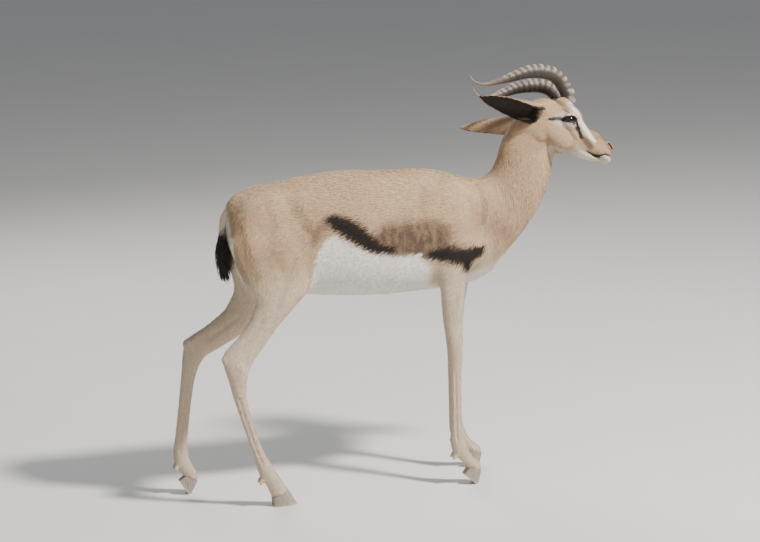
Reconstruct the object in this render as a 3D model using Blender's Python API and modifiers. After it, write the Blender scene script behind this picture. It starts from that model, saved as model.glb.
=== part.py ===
"""A life-size Speke's gazelle, standing in mid-stride, as a still museum model.

Metres, +Z up. The animal faces +X and its right side is towards -Y.
The body is modelled whole from lofts and muscle masses, fused and smoothed, and then parted
into named pieces by thin cuts. Horns, ears, eyes, hooves and the tail are pieces of their own.
"""

import math

import bmesh
import bpy
import numpy as np
from mathutils import Matrix, Vector

# Driving sizes of the animal
GAP = 0.0003
BODY_VOXEL = 0.0034
HEAD_VOXEL = 0.0017
RIGHT = -1
LEFT = 1

# The head's own frame: +X towards the muzzle, +Z to the crown, origin inside the skull
HEAD_AT = Vector((0.3123, 0.0, 0.6693))
HEAD_PITCH = math.radians(35)
HEAD_YAW = math.radians(-16)
HEAD_ROLL = math.radians(-22)
EYE_AT = Vector((0.0480, 0.0268, 0.0262))
EYE_RADIUS = 0.0148
HORN_ROUTE = (
    Vector((0.0300, 0.0180, 0.0440)),
    Vector((0.0258, 0.0195, 0.0650)),
    Vector((0.0088, 0.0220, 0.0771)),
    Vector((-0.0123, 0.0285, 0.0826)),
    Vector((-0.0361, 0.0375, 0.0767)),
    Vector((-0.0660, 0.0445, 0.0545)),
    Vector((-0.0950, 0.0460, 0.0183)),
    Vector((-0.1200, 0.0410, -0.0085)),
    Vector((-0.1395, 0.0350, -0.0142)),
    Vector((-0.1540, 0.0310, -0.0088)),
)
HORN_RADIUS = 0.0126
HORN_RINGS = 16
HORN_SIZE = {RIGHT: 1.0, LEFT: 0.90}
HORN_TURN = {RIGHT: (0, 0, 0), LEFT: (-8, -3, 4)}
EAR_AT = Vector((-0.0060, 0.0310, 0.0135))
EAR_TIP = {-1: Vector((-0.1224, -0.0850, -0.0499)), 1: Vector((-0.1080, 0.0980, -0.0640))}
EAR_OPEN = {RIGHT: Vector((0.0, -0.70, -0.95)), LEFT: Vector((0.0, 1.0, -0.70))}
EAR_WIDTH = 0.046

# Where the body is parted
NECK_CUT = (Vector((0.2150, 0, 0.5180)), Vector((0.80, 0, 0.42)))
HEAD_CUT = (Vector((0.3020, 0, 0.6480)), Vector((0.62, 0, 0.72)))
FORELEG_TOP = 0.405
HINDLEG_TOP = 0.430

# Triangles that each parted piece keeps
BUDGET = {"body": 6300, "head": 4300}


# Collections, materials and small helpers


def collection(name):
    made = bpy.data.collections.new(name)
    bpy.context.scene.collection.children.link(made)
    return made


def material(name, colour, roughness):
    made = bpy.data.materials.new(name)
    made.use_nodes = True
    shader = made.node_tree.nodes["Principled BSDF"]
    shader.inputs["Base Color"].default_value = (*colour, 1.0)
    shader.inputs["Roughness"].default_value = roughness
    shader.inputs["Metallic"].default_value = 0.0
    return made


def object_of(name, mesh, home):
    made = bpy.data.objects.new(name, mesh)
    home.objects.link(made)
    return made


def mesh_object(name, bm, home):
    bmesh.ops.recalc_face_normals(bm, faces=bm.faces)
    mesh = bpy.data.meshes.new(name)
    bm.to_mesh(mesh)
    bm.free()
    return object_of(name, mesh, home)


def remove(objects):
    for obj in list(objects):
        bpy.data.objects.remove(obj)


def apply_modifiers(obj):
    """The object's mesh as its modifiers leave it."""
    bpy.context.view_layer.update()
    graph = bpy.context.evaluated_depsgraph_get()
    mesh = bpy.data.meshes.new_from_object(obj.evaluated_get(graph))
    obj.modifiers.clear()
    obj.data = mesh
    return obj


def points_of(obj):
    flat = np.empty(len(obj.data.vertices) * 3)
    obj.data.vertices.foreach_get("co", flat)
    return flat.reshape(-1, 3)


def set_points(obj, points):
    obj.data.vertices.foreach_set("co", points.astype(np.float32).ravel())
    obj.data.update()


def swollen(obj, by, home):
    """A copy whose surface stands `by` further out, as a cutter that leaves a gap."""
    copy = object_of(obj.name + "_swollen", obj.data.copy(), home)
    normals = np.array([v.normal for v in copy.data.vertices])
    set_points(copy, points_of(copy) + normals * by)
    return copy


def boolean(obj, other, operation, solver="EXACT"):
    cut = obj.modifiers.new(operation, "BOOLEAN")
    cut.operation = operation
    cut.solver = solver
    cut.object = other
    return apply_modifiers(obj)


def keep_largest(obj):
    """Drops every closed surface but the largest, such as a scrap that a cut leaves."""
    bm = bmesh.new()
    bm.from_mesh(obj.data)
    left = set(bm.verts)
    islands = []
    while left:
        stack = [left.pop()]
        island = set(stack)
        while stack:
            for edge in stack.pop().link_edges:
                for vert in edge.verts:
                    if vert in left:
                        left.remove(vert)
                        island.add(vert)
                        stack.append(vert)
        islands.append(island)
    islands.sort(key=len, reverse=True)
    for island in islands[1:]:
        bmesh.ops.delete(bm, geom=list(island), context="VERTS")
    bm.to_mesh(obj.data)
    bm.free()
    return obj


def smoothstep(low, high, value):
    share = min(1.0, max(0.0, (value - low) / (high - low)))
    return share * share * (3 - 2 * share)


def fall(distance):
    """A bump's height at a distance in its own radii: 1 at the centre, 0 from 1 on."""
    return np.clip(1 - distance**2, 0, None) ** 2


# The shapes that the body is made of


def loft(name, rows, home, y=0.0, sides=20, square=2.2, egg=0.0, frame=None):
    """A closed body through sections. A row is (x, z) of one edge, (x, z) of the other, the half
    width across, and, if it differs from y, the section's own middle in Y. An egg above 0 makes
    each section narrower towards its first edge."""
    bm = bmesh.new()
    rings = []
    for row in rows:
        first, second, half = row[:3]
        middle_y = row[3] if len(row) > 3 else y
        one = Vector((first[0], middle_y, first[1]))
        two = Vector((second[0], middle_y, second[1]))
        middle, reach = (one + two) / 2, (one - two) / 2
        ring = []
        for k in range(sides):
            turn = 2 * math.pi * k / sides
            up, across = math.cos(turn), math.sin(turn)
            up = math.copysign(abs(up) ** (2 / square), up)
            across = math.copysign(abs(across) ** (2 / square), across)
            out = Vector((0, half * across * (1 - egg * up), 0))
            ring.append(bm.verts.new(middle + reach * up + out))
        rings.append(ring)
    for low, high in zip(rings, rings[1:]):
        for k in range(sides):
            after = (k + 1) % sides
            bm.faces.new((low[k], low[after], high[after], high[k]))
    bm.faces.new(rings[0][::-1])
    bm.faces.new(rings[-1])
    if frame:
        bm.transform(frame)
    return mesh_object(name, bm, home)


def mass(name, at, radii, home, pitch=0.0, yaw=0.0, roll=0.0, frame=None):
    """A muscle or a bony lump: an ellipsoid, turned by degrees."""
    bm = bmesh.new()
    bmesh.ops.create_uvsphere(bm, u_segments=20, v_segments=12, radius=1)
    turn = (
        Matrix.Rotation(math.radians(yaw), 4, "Z")
        @ Matrix.Rotation(math.radians(pitch), 4, "Y")
        @ Matrix.Rotation(math.radians(roll), 4, "X")
    )
    bm.transform(Matrix.Translation(at) @ turn @ Matrix.Diagonal((*radii, 1)))
    if frame:
        bm.transform(frame)
    return mesh_object(name, bm, home)


def tube(name, points, radii, home, sides=10, frame=None):
    """A closed tube through points, with its own radius at each."""
    bm = bmesh.new()
    rings = []
    side = None
    for k, point in enumerate(points):
        ahead = points[min(k + 1, len(points) - 1)] - points[max(k - 1, 0)]
        ahead.normalize()
        side = (side or ahead.orthogonal()) - ahead * ahead.dot(side or ahead.orthogonal())
        side.normalize()
        up = ahead.cross(side)
        turns = [2 * math.pi * s / sides for s in range(sides)]
        radius = radii[k]
        rings.append(
            [bm.verts.new(point + (side * math.cos(t) + up * math.sin(t)) * radius) for t in turns]
        )
    for low, high in zip(rings, rings[1:]):
        for k in range(sides):
            after = (k + 1) % sides
            bm.faces.new((low[k], low[after], high[after], high[k]))
    bm.faces.new(rings[0][::-1])
    bm.faces.new(rings[-1])
    if frame:
        bm.transform(frame)
    return mesh_object(name, bm, home)


def head_frame():
    return (
        Matrix.Translation(HEAD_AT)
        @ Matrix.Rotation(HEAD_YAW, 4, "Z")
        @ Matrix.Rotation(HEAD_PITCH, 4, "Y")
        @ Matrix.Rotation(HEAD_ROLL, 4, "X")
    )


def torso_forms(home):
    """The trunk from the buttocks to the chest, with its withers and croup."""
    rows = [
        ((-0.290, 0.545), (-0.287, 0.470), 0.030),
        ((-0.274, 0.568), (-0.270, 0.435), 0.050),
        ((-0.245, 0.582), (-0.235, 0.405), 0.063),
        ((-0.190, 0.590), (-0.180, 0.382), 0.069),
        ((-0.130, 0.598), (-0.120, 0.373), 0.074),
        ((-0.060, 0.602), (-0.055, 0.367), 0.080),
        ((0.010, 0.597), (0.010, 0.364), 0.080),
        ((0.080, 0.597), (0.075, 0.366), 0.072),
        ((0.130, 0.588), (0.130, 0.368), 0.062),
        ((0.175, 0.571), (0.185, 0.376), 0.053),
        ((0.215, 0.548), (0.222, 0.396), 0.043),
        ((0.243, 0.510), (0.250, 0.430), 0.027),
    ]
    loft("trunk", rows, home, square=2.2, sides=28, egg=0.17)
    mass("withers", (0.085, 0, 0.580), (0.075, 0.018, 0.016), home, pitch=6)
    mass("croup", (-0.175, 0, 0.573), (0.080, 0.030, 0.018), home, pitch=-8)


def neck_forms(home):
    rows = [
        ((0.130, 0.575), (0.205, 0.395), 0.050),
        ((0.186, 0.571), (0.250, 0.430), 0.053),
        ((0.216, 0.577), (0.289, 0.471), 0.048),
        ((0.233, 0.607), (0.320, 0.516), 0.042),
        ((0.243, 0.636), (0.338, 0.566), 0.038),
        ((0.257, 0.661), (0.344, 0.600), 0.035),
        ((0.280, 0.684), (0.362, 0.622), 0.033),
        ((0.306, 0.700), (0.374, 0.640), 0.027),
    ]
    loft("neck", rows, home, square=2.05, sides=24)


def shoulder_forms(home, side):
    mass(
        "scapula", (0.110, side * 0.041, 0.500), (0.046, 0.023, 0.088), home,
        pitch=24, roll=side * 9,
    )
    mass(
        "upper_arm", (0.152, side * 0.048, 0.440), (0.062, 0.023, 0.036), home,
        pitch=-22, yaw=-side * 7,
    )
    mass("shoulder_point", (0.207, side * 0.034, 0.455), (0.030, 0.019, 0.033), home)
    mass("triceps", (0.102, side * 0.054, 0.448), (0.036, 0.017, 0.048), home, pitch=35)


def haunch_forms(home, side, stifle):
    """The thigh's masses, swung by where the stifle is."""
    x, z = stifle
    mass("gluteal", (-0.216, side * 0.031, 0.513), (0.074, 0.038, 0.068), home, pitch=-25)
    mass("hip_bone", (-0.152, side * 0.041, 0.560), (0.024, 0.013, 0.012), home, pitch=-10)
    mass(
        "thigh_front", ((x - 0.235) / 2 + 0.016, side * 0.050, (z + 0.515) / 2 - 0.004),
        (0.042, 0.027, 0.076), home, pitch=-30,
    )
    mass("thigh_rear", (-0.244, side * 0.050, 0.462), (0.041, 0.028, 0.072), home, pitch=-8)
    mass("stifle", (x - 0.004, side * 0.054, z), (0.024, 0.021, 0.030), home, pitch=-30)


def right_foreleg(home):
    y = -0.056
    rows = [
        ((0.078, 0.440), (0.180, 0.440), 0.022, y + 0.006),
        ((0.095, 0.411), (0.157, 0.411), 0.0215, y + 0.002),
        ((0.097, 0.388), (0.151, 0.388), 0.0190, y),
        ((0.100, 0.347), (0.1465, 0.347), 0.0160, y),
        ((0.103, 0.312), (0.1415, 0.312), 0.0142, y),
        ((0.107, 0.286), (0.1395, 0.288), 0.0146, y),
        ((0.1085, 0.266), (0.1405, 0.268), 0.0150, y),
        ((0.112, 0.242), (0.1385, 0.242), 0.0125, y - 0.001),
        ((0.1125, 0.215), (0.1360, 0.215), 0.0100, y - 0.002),
        ((0.1120, 0.160), (0.1345, 0.160), 0.0094, y - 0.003),
        ((0.1105, 0.110), (0.1345, 0.110), 0.0100, y - 0.004),
        ((0.1095, 0.088), (0.1380, 0.090), 0.0122, y - 0.004),
        ((0.1120, 0.069), (0.1430, 0.073), 0.0140, y - 0.004),
        ((0.1195, 0.054), (0.1470, 0.062), 0.0132, y - 0.004),
        ((0.1295, 0.045), (0.1535, 0.052), 0.0127, y - 0.004),
        ((0.1380, 0.035), (0.1630, 0.043), 0.0134, y - 0.004),
        ((0.1430, 0.028), (0.1680, 0.036), 0.0132, y - 0.004),
        ((0.1475, 0.020), (0.1670, 0.025), 0.0100, y - 0.004),
    ]
    loft("foreleg", rows, home, sides=16, square=2.15)
    mass("knee_cap", (0.1335, y, 0.270), (0.0080, 0.0125, 0.0180), home)
    dewclaws(home, Vector((0.1155, y - 0.004, 0.056)))


def left_foreleg(home):
    y = 0.054
    rows = [
        ((0.098, 0.440), (0.205, 0.440), 0.022, y - 0.006),
        ((0.122, 0.405), (0.197, 0.405), 0.0215, y - 0.002),
        ((0.131, 0.378), (0.192, 0.378), 0.0185, y),
        ((0.135, 0.345), (0.185, 0.345), 0.0160, y),
        ((0.137, 0.312), (0.177, 0.312), 0.0142, y),
        ((0.1405, 0.286), (0.1735, 0.286), 0.0146, y),
        ((0.1400, 0.266), (0.1715, 0.268), 0.0150, y),
        ((0.142, 0.242), (0.1685, 0.242), 0.0125, y),
        ((0.1425, 0.215), (0.1660, 0.215), 0.0100, y),
        ((0.1425, 0.160), (0.1650, 0.160), 0.0094, y),
        ((0.1425, 0.110), (0.1665, 0.112), 0.0100, y),
        ((0.1425, 0.085), (0.1700, 0.090), 0.0122, y),
        ((0.1450, 0.067), (0.1745, 0.074), 0.0140, y),
        ((0.1540, 0.052), (0.1800, 0.062), 0.0132, y),
        ((0.1660, 0.043), (0.1880, 0.052), 0.0127, y),
        ((0.1745, 0.035), (0.1985, 0.043), 0.0134, y),
        ((0.1795, 0.028), (0.2045, 0.036), 0.0132, y),
        ((0.1840, 0.020), (0.2035, 0.025), 0.0100, y),
    ]
    loft("foreleg", rows, home, sides=16, square=2.15)
    mass("knee_cap", (0.1650, y, 0.270), (0.0080, 0.0125, 0.0180), home)
    dewclaws(home, Vector((0.1495, y, 0.055)))


def right_hindleg(home):
    y = -0.060
    rows = [
        ((-0.296, 0.500), (-0.150, 0.500), 0.026, y + 0.012),
        ((-0.290, 0.462), (-0.134, 0.458), 0.028, y + 0.008),
        ((-0.276, 0.428), (-0.137, 0.420), 0.026, y + 0.004),
        ((-0.262, 0.398), (-0.149, 0.392), 0.0235, y + 0.001),
        ((-0.250, 0.374), (-0.170, 0.372), 0.0205, y - 0.001),
        ((-0.262, 0.350), (-0.203, 0.340), 0.0165, y - 0.004),
        ((-0.279, 0.325), (-0.226, 0.314), 0.0135, y - 0.006),
        ((-0.300, 0.303), (-0.245, 0.290), 0.0128, y - 0.007),
        ((-0.3155, 0.284), (-0.261, 0.270), 0.0138, y - 0.008),
        ((-0.3150, 0.264), (-0.269, 0.254), 0.0150, y - 0.009),
        ((-0.3080, 0.240), (-0.2735, 0.236), 0.0140, y - 0.009),
        ((-0.3020, 0.212), (-0.2755, 0.208), 0.0114, y - 0.010),
        ((-0.2930, 0.180), (-0.2690, 0.174), 0.0102, y - 0.010),
        ((-0.2815, 0.142), (-0.2580, 0.136), 0.0098, y - 0.010),
        ((-0.2715, 0.108), (-0.2470, 0.101), 0.0103, y - 0.010),
        ((-0.2655, 0.086), (-0.2350, 0.080), 0.0122, y - 0.010),
        ((-0.2600, 0.062), (-0.2265, 0.064), 0.0142, y - 0.010),
        ((-0.2510, 0.046), (-0.2195, 0.052), 0.0134, y - 0.010),
        ((-0.2440, 0.033), (-0.2130, 0.041), 0.0130, y - 0.010),
        ((-0.2400, 0.022), (-0.2075, 0.031), 0.0138, y - 0.010),
        ((-0.2340, 0.013), (-0.2080, 0.019), 0.0105, y - 0.010),
    ]
    loft("hindleg", rows, home, sides=16, square=2.15)
    tendon = [(-0.243, 0.382), (-0.257, 0.348), (-0.279, 0.318), (-0.3085, 0.286)]
    hock_tendon(home, tendon, y - 0.004)
    dewclaws(home, Vector((-0.2570, y - 0.010, 0.049)))
    haunch_forms(home, RIGHT, (-0.160, 0.420))


def left_hindleg(home):
    y = 0.060
    rows = [
        ((-0.296, 0.500), (-0.160, 0.500), 0.026, y - 0.012),
        ((-0.288, 0.462), (-0.152, 0.455), 0.028, y - 0.008),
        ((-0.276, 0.425), (-0.158, 0.412), 0.026, y - 0.004),
        ((-0.268, 0.394), (-0.174, 0.374), 0.0235, y - 0.001),
        ((-0.266, 0.368), (-0.200, 0.338), 0.0205, y + 0.001),
        ((-0.276, 0.348), (-0.233, 0.309), 0.0165, y + 0.004),
        ((-0.300, 0.330), (-0.264, 0.290), 0.0135, y + 0.006),
        ((-0.329, 0.312), (-0.292, 0.275), 0.0128, y + 0.007),
        ((-0.3560, 0.294), (-0.320, 0.261), 0.0138, y + 0.009),
        ((-0.3655, 0.270), (-0.331, 0.250), 0.0150, y + 0.010),
        ((-0.3690, 0.240), (-0.3395, 0.234), 0.0140, y + 0.010),
        ((-0.3730, 0.212), (-0.347, 0.208), 0.0114, y + 0.010),
        ((-0.3775, 0.180), (-0.3530, 0.176), 0.0102, y + 0.010),
        ((-0.3830, 0.142), (-0.3590, 0.138), 0.0098, y + 0.010),
        ((-0.3885, 0.108), (-0.3635, 0.104), 0.0103, y + 0.010),
        ((-0.3925, 0.086), (-0.3640, 0.082), 0.0122, y + 0.010),
        ((-0.3920, 0.064), (-0.3620, 0.066), 0.0140, y + 0.010),
        ((-0.3860, 0.050), (-0.3555, 0.052), 0.0134, y + 0.010),
        ((-0.3800, 0.041), (-0.3495, 0.040), 0.0130, y + 0.010),
        ((-0.3775, 0.034), (-0.3505, 0.031), 0.0110, y + 0.010),
    ]
    loft("hindleg", rows, home, sides=16, square=2.15)
    tendon = [(-0.259, 0.378), (-0.280, 0.343), (-0.316, 0.315), (-0.3545, 0.290)]
    hock_tendon(home, tendon, y + 0.004)
    dewclaws(home, Vector((-0.3900, y + 0.010, 0.053)))
    haunch_forms(home, LEFT, (-0.180, 0.415))


def hock_tendon(home, route, y):
    """The tendon that runs down to the point of the hock, and the heel bone under it."""
    points = [Vector((x, y, z)) for x, z in route]
    tube("heel_tendon", points, [0.008, 0.0062, 0.0062, 0.0085], home, sides=10)


def dewclaws(home, at):
    """The two small false hooves behind the fetlock."""
    for side in (RIGHT, LEFT):
        mass(
            "dewclaw", at + Vector((0, side * 0.0085, 0)), (0.0052, 0.0046, 0.0082), home,
            pitch=28,
        )


def head_forms(home):
    """Skull, cheeks, muzzle and jaw, in the head's own frame."""
    frame = head_frame()
    rows = [
        ((-0.040, 0.000), (-0.034, -0.060), 0.020),
        ((-0.026, 0.022), (-0.018, -0.058), 0.028),
        ((-0.008, 0.038), (0.002, -0.050), 0.0325),
        ((0.012, 0.052), (0.022, -0.041), 0.0345),
        ((0.036, 0.0590), (0.044, -0.033), 0.0345),
        ((0.058, 0.0565), (0.062, -0.0265), 0.0300),
        ((0.078, 0.0480), (0.080, -0.0195), 0.0245),
        ((0.097, 0.0405), (0.098, -0.0130), 0.0208),
        ((0.114, 0.0395), (0.114, -0.0050), 0.0188),
        ((0.128, 0.0400), (0.127, 0.0015), 0.0182),
        ((0.141, 0.0390), (0.140, 0.0040), 0.0172),
        ((0.149, 0.0355), (0.149, 0.0040), 0.0148),
        ((0.1535, 0.0300), (0.1530, 0.0085), 0.0095),
    ]
    loft("skull", rows, home, sides=24, square=2.35, frame=frame)
    jaw = [
        ((0.060, 0.010), (0.062, -0.024), 0.0200),
        ((0.088, 0.006), (0.089, -0.0160), 0.0168),
        ((0.109, 0.002), (0.110, -0.0118), 0.0138),
        ((0.124, 0.001), (0.125, -0.0068), 0.0118),
        ((0.135, 0.002), (0.136, -0.0030), 0.0098),
        ((0.1405, 0.002), (0.1410, -0.0010), 0.0060),
    ]
    loft("jaw", jaw, home, sides=18, frame=frame)
    mass("crown", (0.004, 0, 0.032), (0.034, 0.029, 0.0165), home, pitch=-20, frame=frame)
    mass("forehead", (0.040, 0, 0.052), (0.036, 0.021, 0.012), home, pitch=2, frame=frame)
    mass("nose_swelling", (0.110, 0, 0.0350), (0.021, 0.0120, 0.0125), home, frame=frame)
    for side in (RIGHT, LEFT):
        head_side_forms(home, side, frame)


def head_side_forms(home, side, frame):
    x, y, z = EYE_AT
    y *= side
    mass("orbit", (x - 0.001, y - side * 0.004, z), (0.0215, 0.0150, 0.0190), home, frame=frame)
    mass("brow", (x - 0.002, y + side * 0.0015, z + 0.0140), (0.0190, 0.0100, 0.0058), home, frame=frame)
    mass("cheek", (0.040, side * 0.0225, -0.004), (0.040, 0.0125, 0.0225), home, pitch=14, frame=frame)
    mass("cheekbone", (0.060, side * 0.0255, 0.0125), (0.030, 0.0075, 0.0060), home, pitch=12, yaw=-side * 14, frame=frame)
    mass("jaw_angle", (0.014, side * 0.0195, -0.020), (0.022, 0.0110, 0.0200), home, frame=frame)
    mass("ear_root", (-0.004, side * 0.0275, 0.0140), (0.0160, 0.0110, 0.0165), home, frame=frame)
    mass("horn_root", (0.0265, side * 0.0185, 0.0520), (0.0175, 0.0150, 0.0130), home, pitch=-20, frame=frame)
    mass("nostril_wing", (0.1410, side * 0.0110, 0.0325), (0.0125, 0.0078, 0.0075), home, pitch=20, frame=frame)
    mass("upper_lip", (0.1490, side * 0.0075, 0.0105), (0.0105, 0.0085, 0.0070), home, pitch=-6, frame=frame)
    eyelids(home, side, frame)


def eyelids(home, side, frame):
    """A raised rim round the almond opening of each eye, lying on the eyeball."""
    for name, lift in (("upper_lid", 0.0086), ("lower_lid", -0.0078)):
        points = []
        for k in range(9):
            share = k / 8
            along = 0.0130 * (1 - 2 * share)
            rise = lift * math.sin(math.pi * share) ** 0.8 + 0.0028 * (1 - 2 * share)
            reach = math.sqrt(max(0.0, EYE_RADIUS**2 - along**2 - rise**2))
            points.append(
                EYE_AT * Vector((1, side, 1)) + Vector((along, side * (reach + 0.0002), rise))
            )
        radii = [0.0016 + 0.0007 * math.sin(math.pi * k / 8) for k in range(9)]
        tube(name, points, radii, home, sides=8, frame=frame)


def carve_head(obj):
    """Presses the nostrils, the line of the mouth, the tear slit and the nose folds into the head."""
    into = np.array(head_frame().inverted())
    points = points_of(obj)
    local = points @ into[:3, :3].T + into[:3, 3]
    x, y, z = local.T
    aside = np.abs(y)
    moved = np.zeros_like(local)
    mouth = 0.0048 - 0.0028 * np.clip((x - 0.132) / 0.020, 0, 1)
    line = np.exp(-(((z - mouth) / 0.0019) ** 2)) * np.clip((x - 0.114) / 0.010, 0, 1)
    moved[:, 1] -= np.sign(y) * 0.0045 * line * np.clip(aside / 0.006, 0, 1)
    lip = np.exp(-(((z - 0.0172) / 0.0017) ** 2)) * np.clip((x - 0.136) / 0.008, 0, 1)
    moved[:, 1] -= np.sign(y) * 0.0020 * lip * np.clip(aside / 0.006, 0, 1)
    moved[:, 0] -= 0.0022 * lip * (x > 0.150)
    slit = np.hypot((x - 0.1445) / 0.0078, (z - 0.0338 + 0.40 * (x - 0.1445)) / 0.0028)
    hole = fall(slit) * (aside > 0.003)
    moved[:, 1] -= np.sign(y) * 0.0075 * hole
    tear = np.hypot((x - 0.0690) / 0.0085, (z - 0.0200 + 0.55 * (x - 0.0690)) / 0.0026)
    moved[:, 1] -= np.sign(y) * 0.0030 * fall(tear) * (aside > 0.012)
    folds = 0.5 + 0.5 * np.cos(2 * np.pi * (x - 0.108) / 0.0085)
    over = fall(np.abs(x - 0.112) / 0.022) * np.clip((z - 0.028) / 0.010, 0, 1)
    moved[:, 2] += 0.0022 * folds * over
    shift = moved @ np.array(head_frame())[:3, :3].T
    set_points(obj, points + shift)


def fuse(name, home, workshop, voxel, rounds, stiff=0.2):
    """Fuses the collection's forms into one skin and smooths it: fully on the trunk, little on
    the slender legs."""
    parts = list(home.objects)
    bm = bmesh.new()
    for part in parts:
        bm.from_mesh(part.data)
    remove(parts)
    whole = mesh_object(name, bm, workshop)
    remesh = whole.modifiers.new("fuse", "REMESH")
    remesh.mode = "VOXEL"
    remesh.voxel_size = voxel
    apply_modifiers(whole)
    heights = points_of(whole)[:, 2]
    soft = whole.vertex_groups.new(name="soft")
    for index, height in enumerate(heights):
        share = smoothstep(0.30, 0.42, height)
        soft.add([index], stiff + (1 - stiff) * share, "REPLACE")
    smooth = whole.modifiers.new("smooth", "SMOOTH")
    smooth.factor = 0.5
    smooth.iterations = rounds
    smooth.vertex_group = soft.name
    return apply_modifiers(whole)


def thin_out(obj, triangles):
    obj.data.update()
    now = sum(len(p.vertices) - 2 for p in obj.data.polygons)
    fewer = obj.modifiers.new("fewer", "DECIMATE")
    fewer.ratio = min(1.0, triangles / now)
    fewer.use_collapse_triangulate = True
    return apply_modifiers(obj)


# Parting the body


def half_space(name, point, normal, home):
    """A large box whose one face is the plane; the box lies on the side the normal points to."""
    bm = bmesh.new()
    bmesh.ops.create_cube(bm, size=1)
    reach = 1.4
    bm.transform(Matrix.Diagonal((reach, reach, reach, 1)))
    bm.transform(Matrix.Translation((0, 0, reach / 2)))
    turn = normal.normalized().to_track_quat("Z", "Y").to_matrix().to_4x4()
    bm.transform(Matrix.Translation(point) @ turn)
    return mesh_object(name, bm, home)


def box(name, low, high, home, pitch=0.0, pivot=(0, 0, 0)):
    bm = bmesh.new()
    bmesh.ops.create_cube(bm, size=1)
    low, high = Vector(low), Vector(high)
    bm.transform(Matrix.Translation((low + high) / 2) @ Matrix.Diagonal((*(high - low), 1)))
    turn = Matrix.Rotation(math.radians(pitch), 4, "Y")
    bm.transform(Matrix.Translation(pivot) @ turn @ Matrix.Translation(-Vector(pivot)))
    return mesh_object(name, bm, home)


def leg_region(name, x_range, top, side, home, grow=0.0, pitch=0.0):
    """The box that holds one leg, below its cut from the trunk."""
    inner, outer = side * (0.0205 - grow), side * 0.16
    low = (x_range[0] - grow, min(inner, outer), -0.1)
    high = (x_range[1] + grow, max(inner, outer), top + grow)
    pivot = ((x_range[0] + x_range[1]) / 2, 0, top)
    return box(name, low, high, home, pitch=pitch, pivot=pivot)


LEGS = {
    "leg_fore_right": ((0.040, 0.262), FORELEG_TOP, RIGHT, 0),
    "leg_fore_left": ((0.040, 0.262), FORELEG_TOP, LEFT, 0),
    "leg_hind_right": ((-0.470, -0.105), HINDLEG_TOP, RIGHT, 9),
    "leg_hind_left": ((-0.470, -0.105), HINDLEG_TOP, LEFT, 9),
}


def part_body(whole, nodes, workshop):
    """Cuts the fused body into legs, trunk and neck, with a thin gap at each cut."""
    made = {}
    trunk = whole
    for name, (x_range, top, side, pitch) in LEGS.items():
        leg = object_of(name, whole.data.copy(), nodes)
        region = leg_region("region", x_range, top, side, workshop, pitch=pitch)
        boolean(leg, region, "INTERSECT")
        made[name] = keep_largest(leg)
        remove([region])
    for name, (x_range, top, side, pitch) in LEGS.items():
        region = leg_region("region", x_range, top, side, workshop, grow=GAP, pitch=pitch)
        boolean(trunk, region, "DIFFERENCE")
        remove([region])
    point, normal = NECK_CUT
    neck = object_of("neck", trunk.data.copy(), nodes)
    front = half_space("front", point + normal.normalized() * GAP, normal, workshop)
    beyond = half_space("beyond", HEAD_CUT[0], HEAD_CUT[1], workshop)
    boolean(neck, front, "INTERSECT")
    boolean(neck, beyond, "DIFFERENCE")
    back = half_space("back", point, normal, workshop)
    torso = object_of("torso", trunk.data.copy(), nodes)
    boolean(torso, back, "DIFFERENCE")
    made["neck"] = keep_largest(neck)
    made["torso"] = keep_largest(torso)
    remove([front, beyond, back, trunk])
    return made


def part_head(head, workshop):
    """Cuts the head from the neck and hollows a socket for each eyeball."""
    point, normal = HEAD_CUT
    ahead = half_space("ahead", point + normal.normalized() * GAP, normal, workshop)
    boolean(head, ahead, "INTERSECT")
    remove([ahead])
    for side in (RIGHT, LEFT):
        socket = eyeball("socket", side, workshop, EYE_RADIUS + GAP)
        boolean(head, socket, "DIFFERENCE")
        remove([socket])
    return keep_largest(head)


# Pieces that are not flesh


def eyeball(name, side, home, radius):
    bm = bmesh.new()
    bmesh.ops.create_uvsphere(bm, u_segments=14, v_segments=8, radius=radius)
    bm.transform(head_frame() @ Matrix.Translation(EYE_AT * Vector((1, side, 1))))
    return mesh_object(name, bm, home)


def smooth_route(points, count):
    """Evenly spaced points on a smooth curve through the given ones."""
    dense = []
    last = len(points) - 1
    for k in range(last):
        before, here = points[max(k - 1, 0)], points[k]
        there, after = points[k + 1], points[min(k + 2, last)]
        for step in range(12):
            t = step / 12
            dense.append(
                0.5 * (2 * here + (there - before) * t
                + (2 * before - 5 * here + 4 * there - after) * t * t
                + (3 * here - before - 3 * there + after) * t**3)
            )
    dense.append(points[last].copy())
    lengths = [0.0]
    for one, two in zip(dense, dense[1:]):
        lengths.append(lengths[-1] + (two - one).length)
    wanted = np.linspace(0, lengths[-1], count)
    spots = [np.interp(wanted, lengths, [p[axis] for p in dense]) for axis in range(3)]
    return [Vector(spot) for spot in zip(*spots)]


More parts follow.
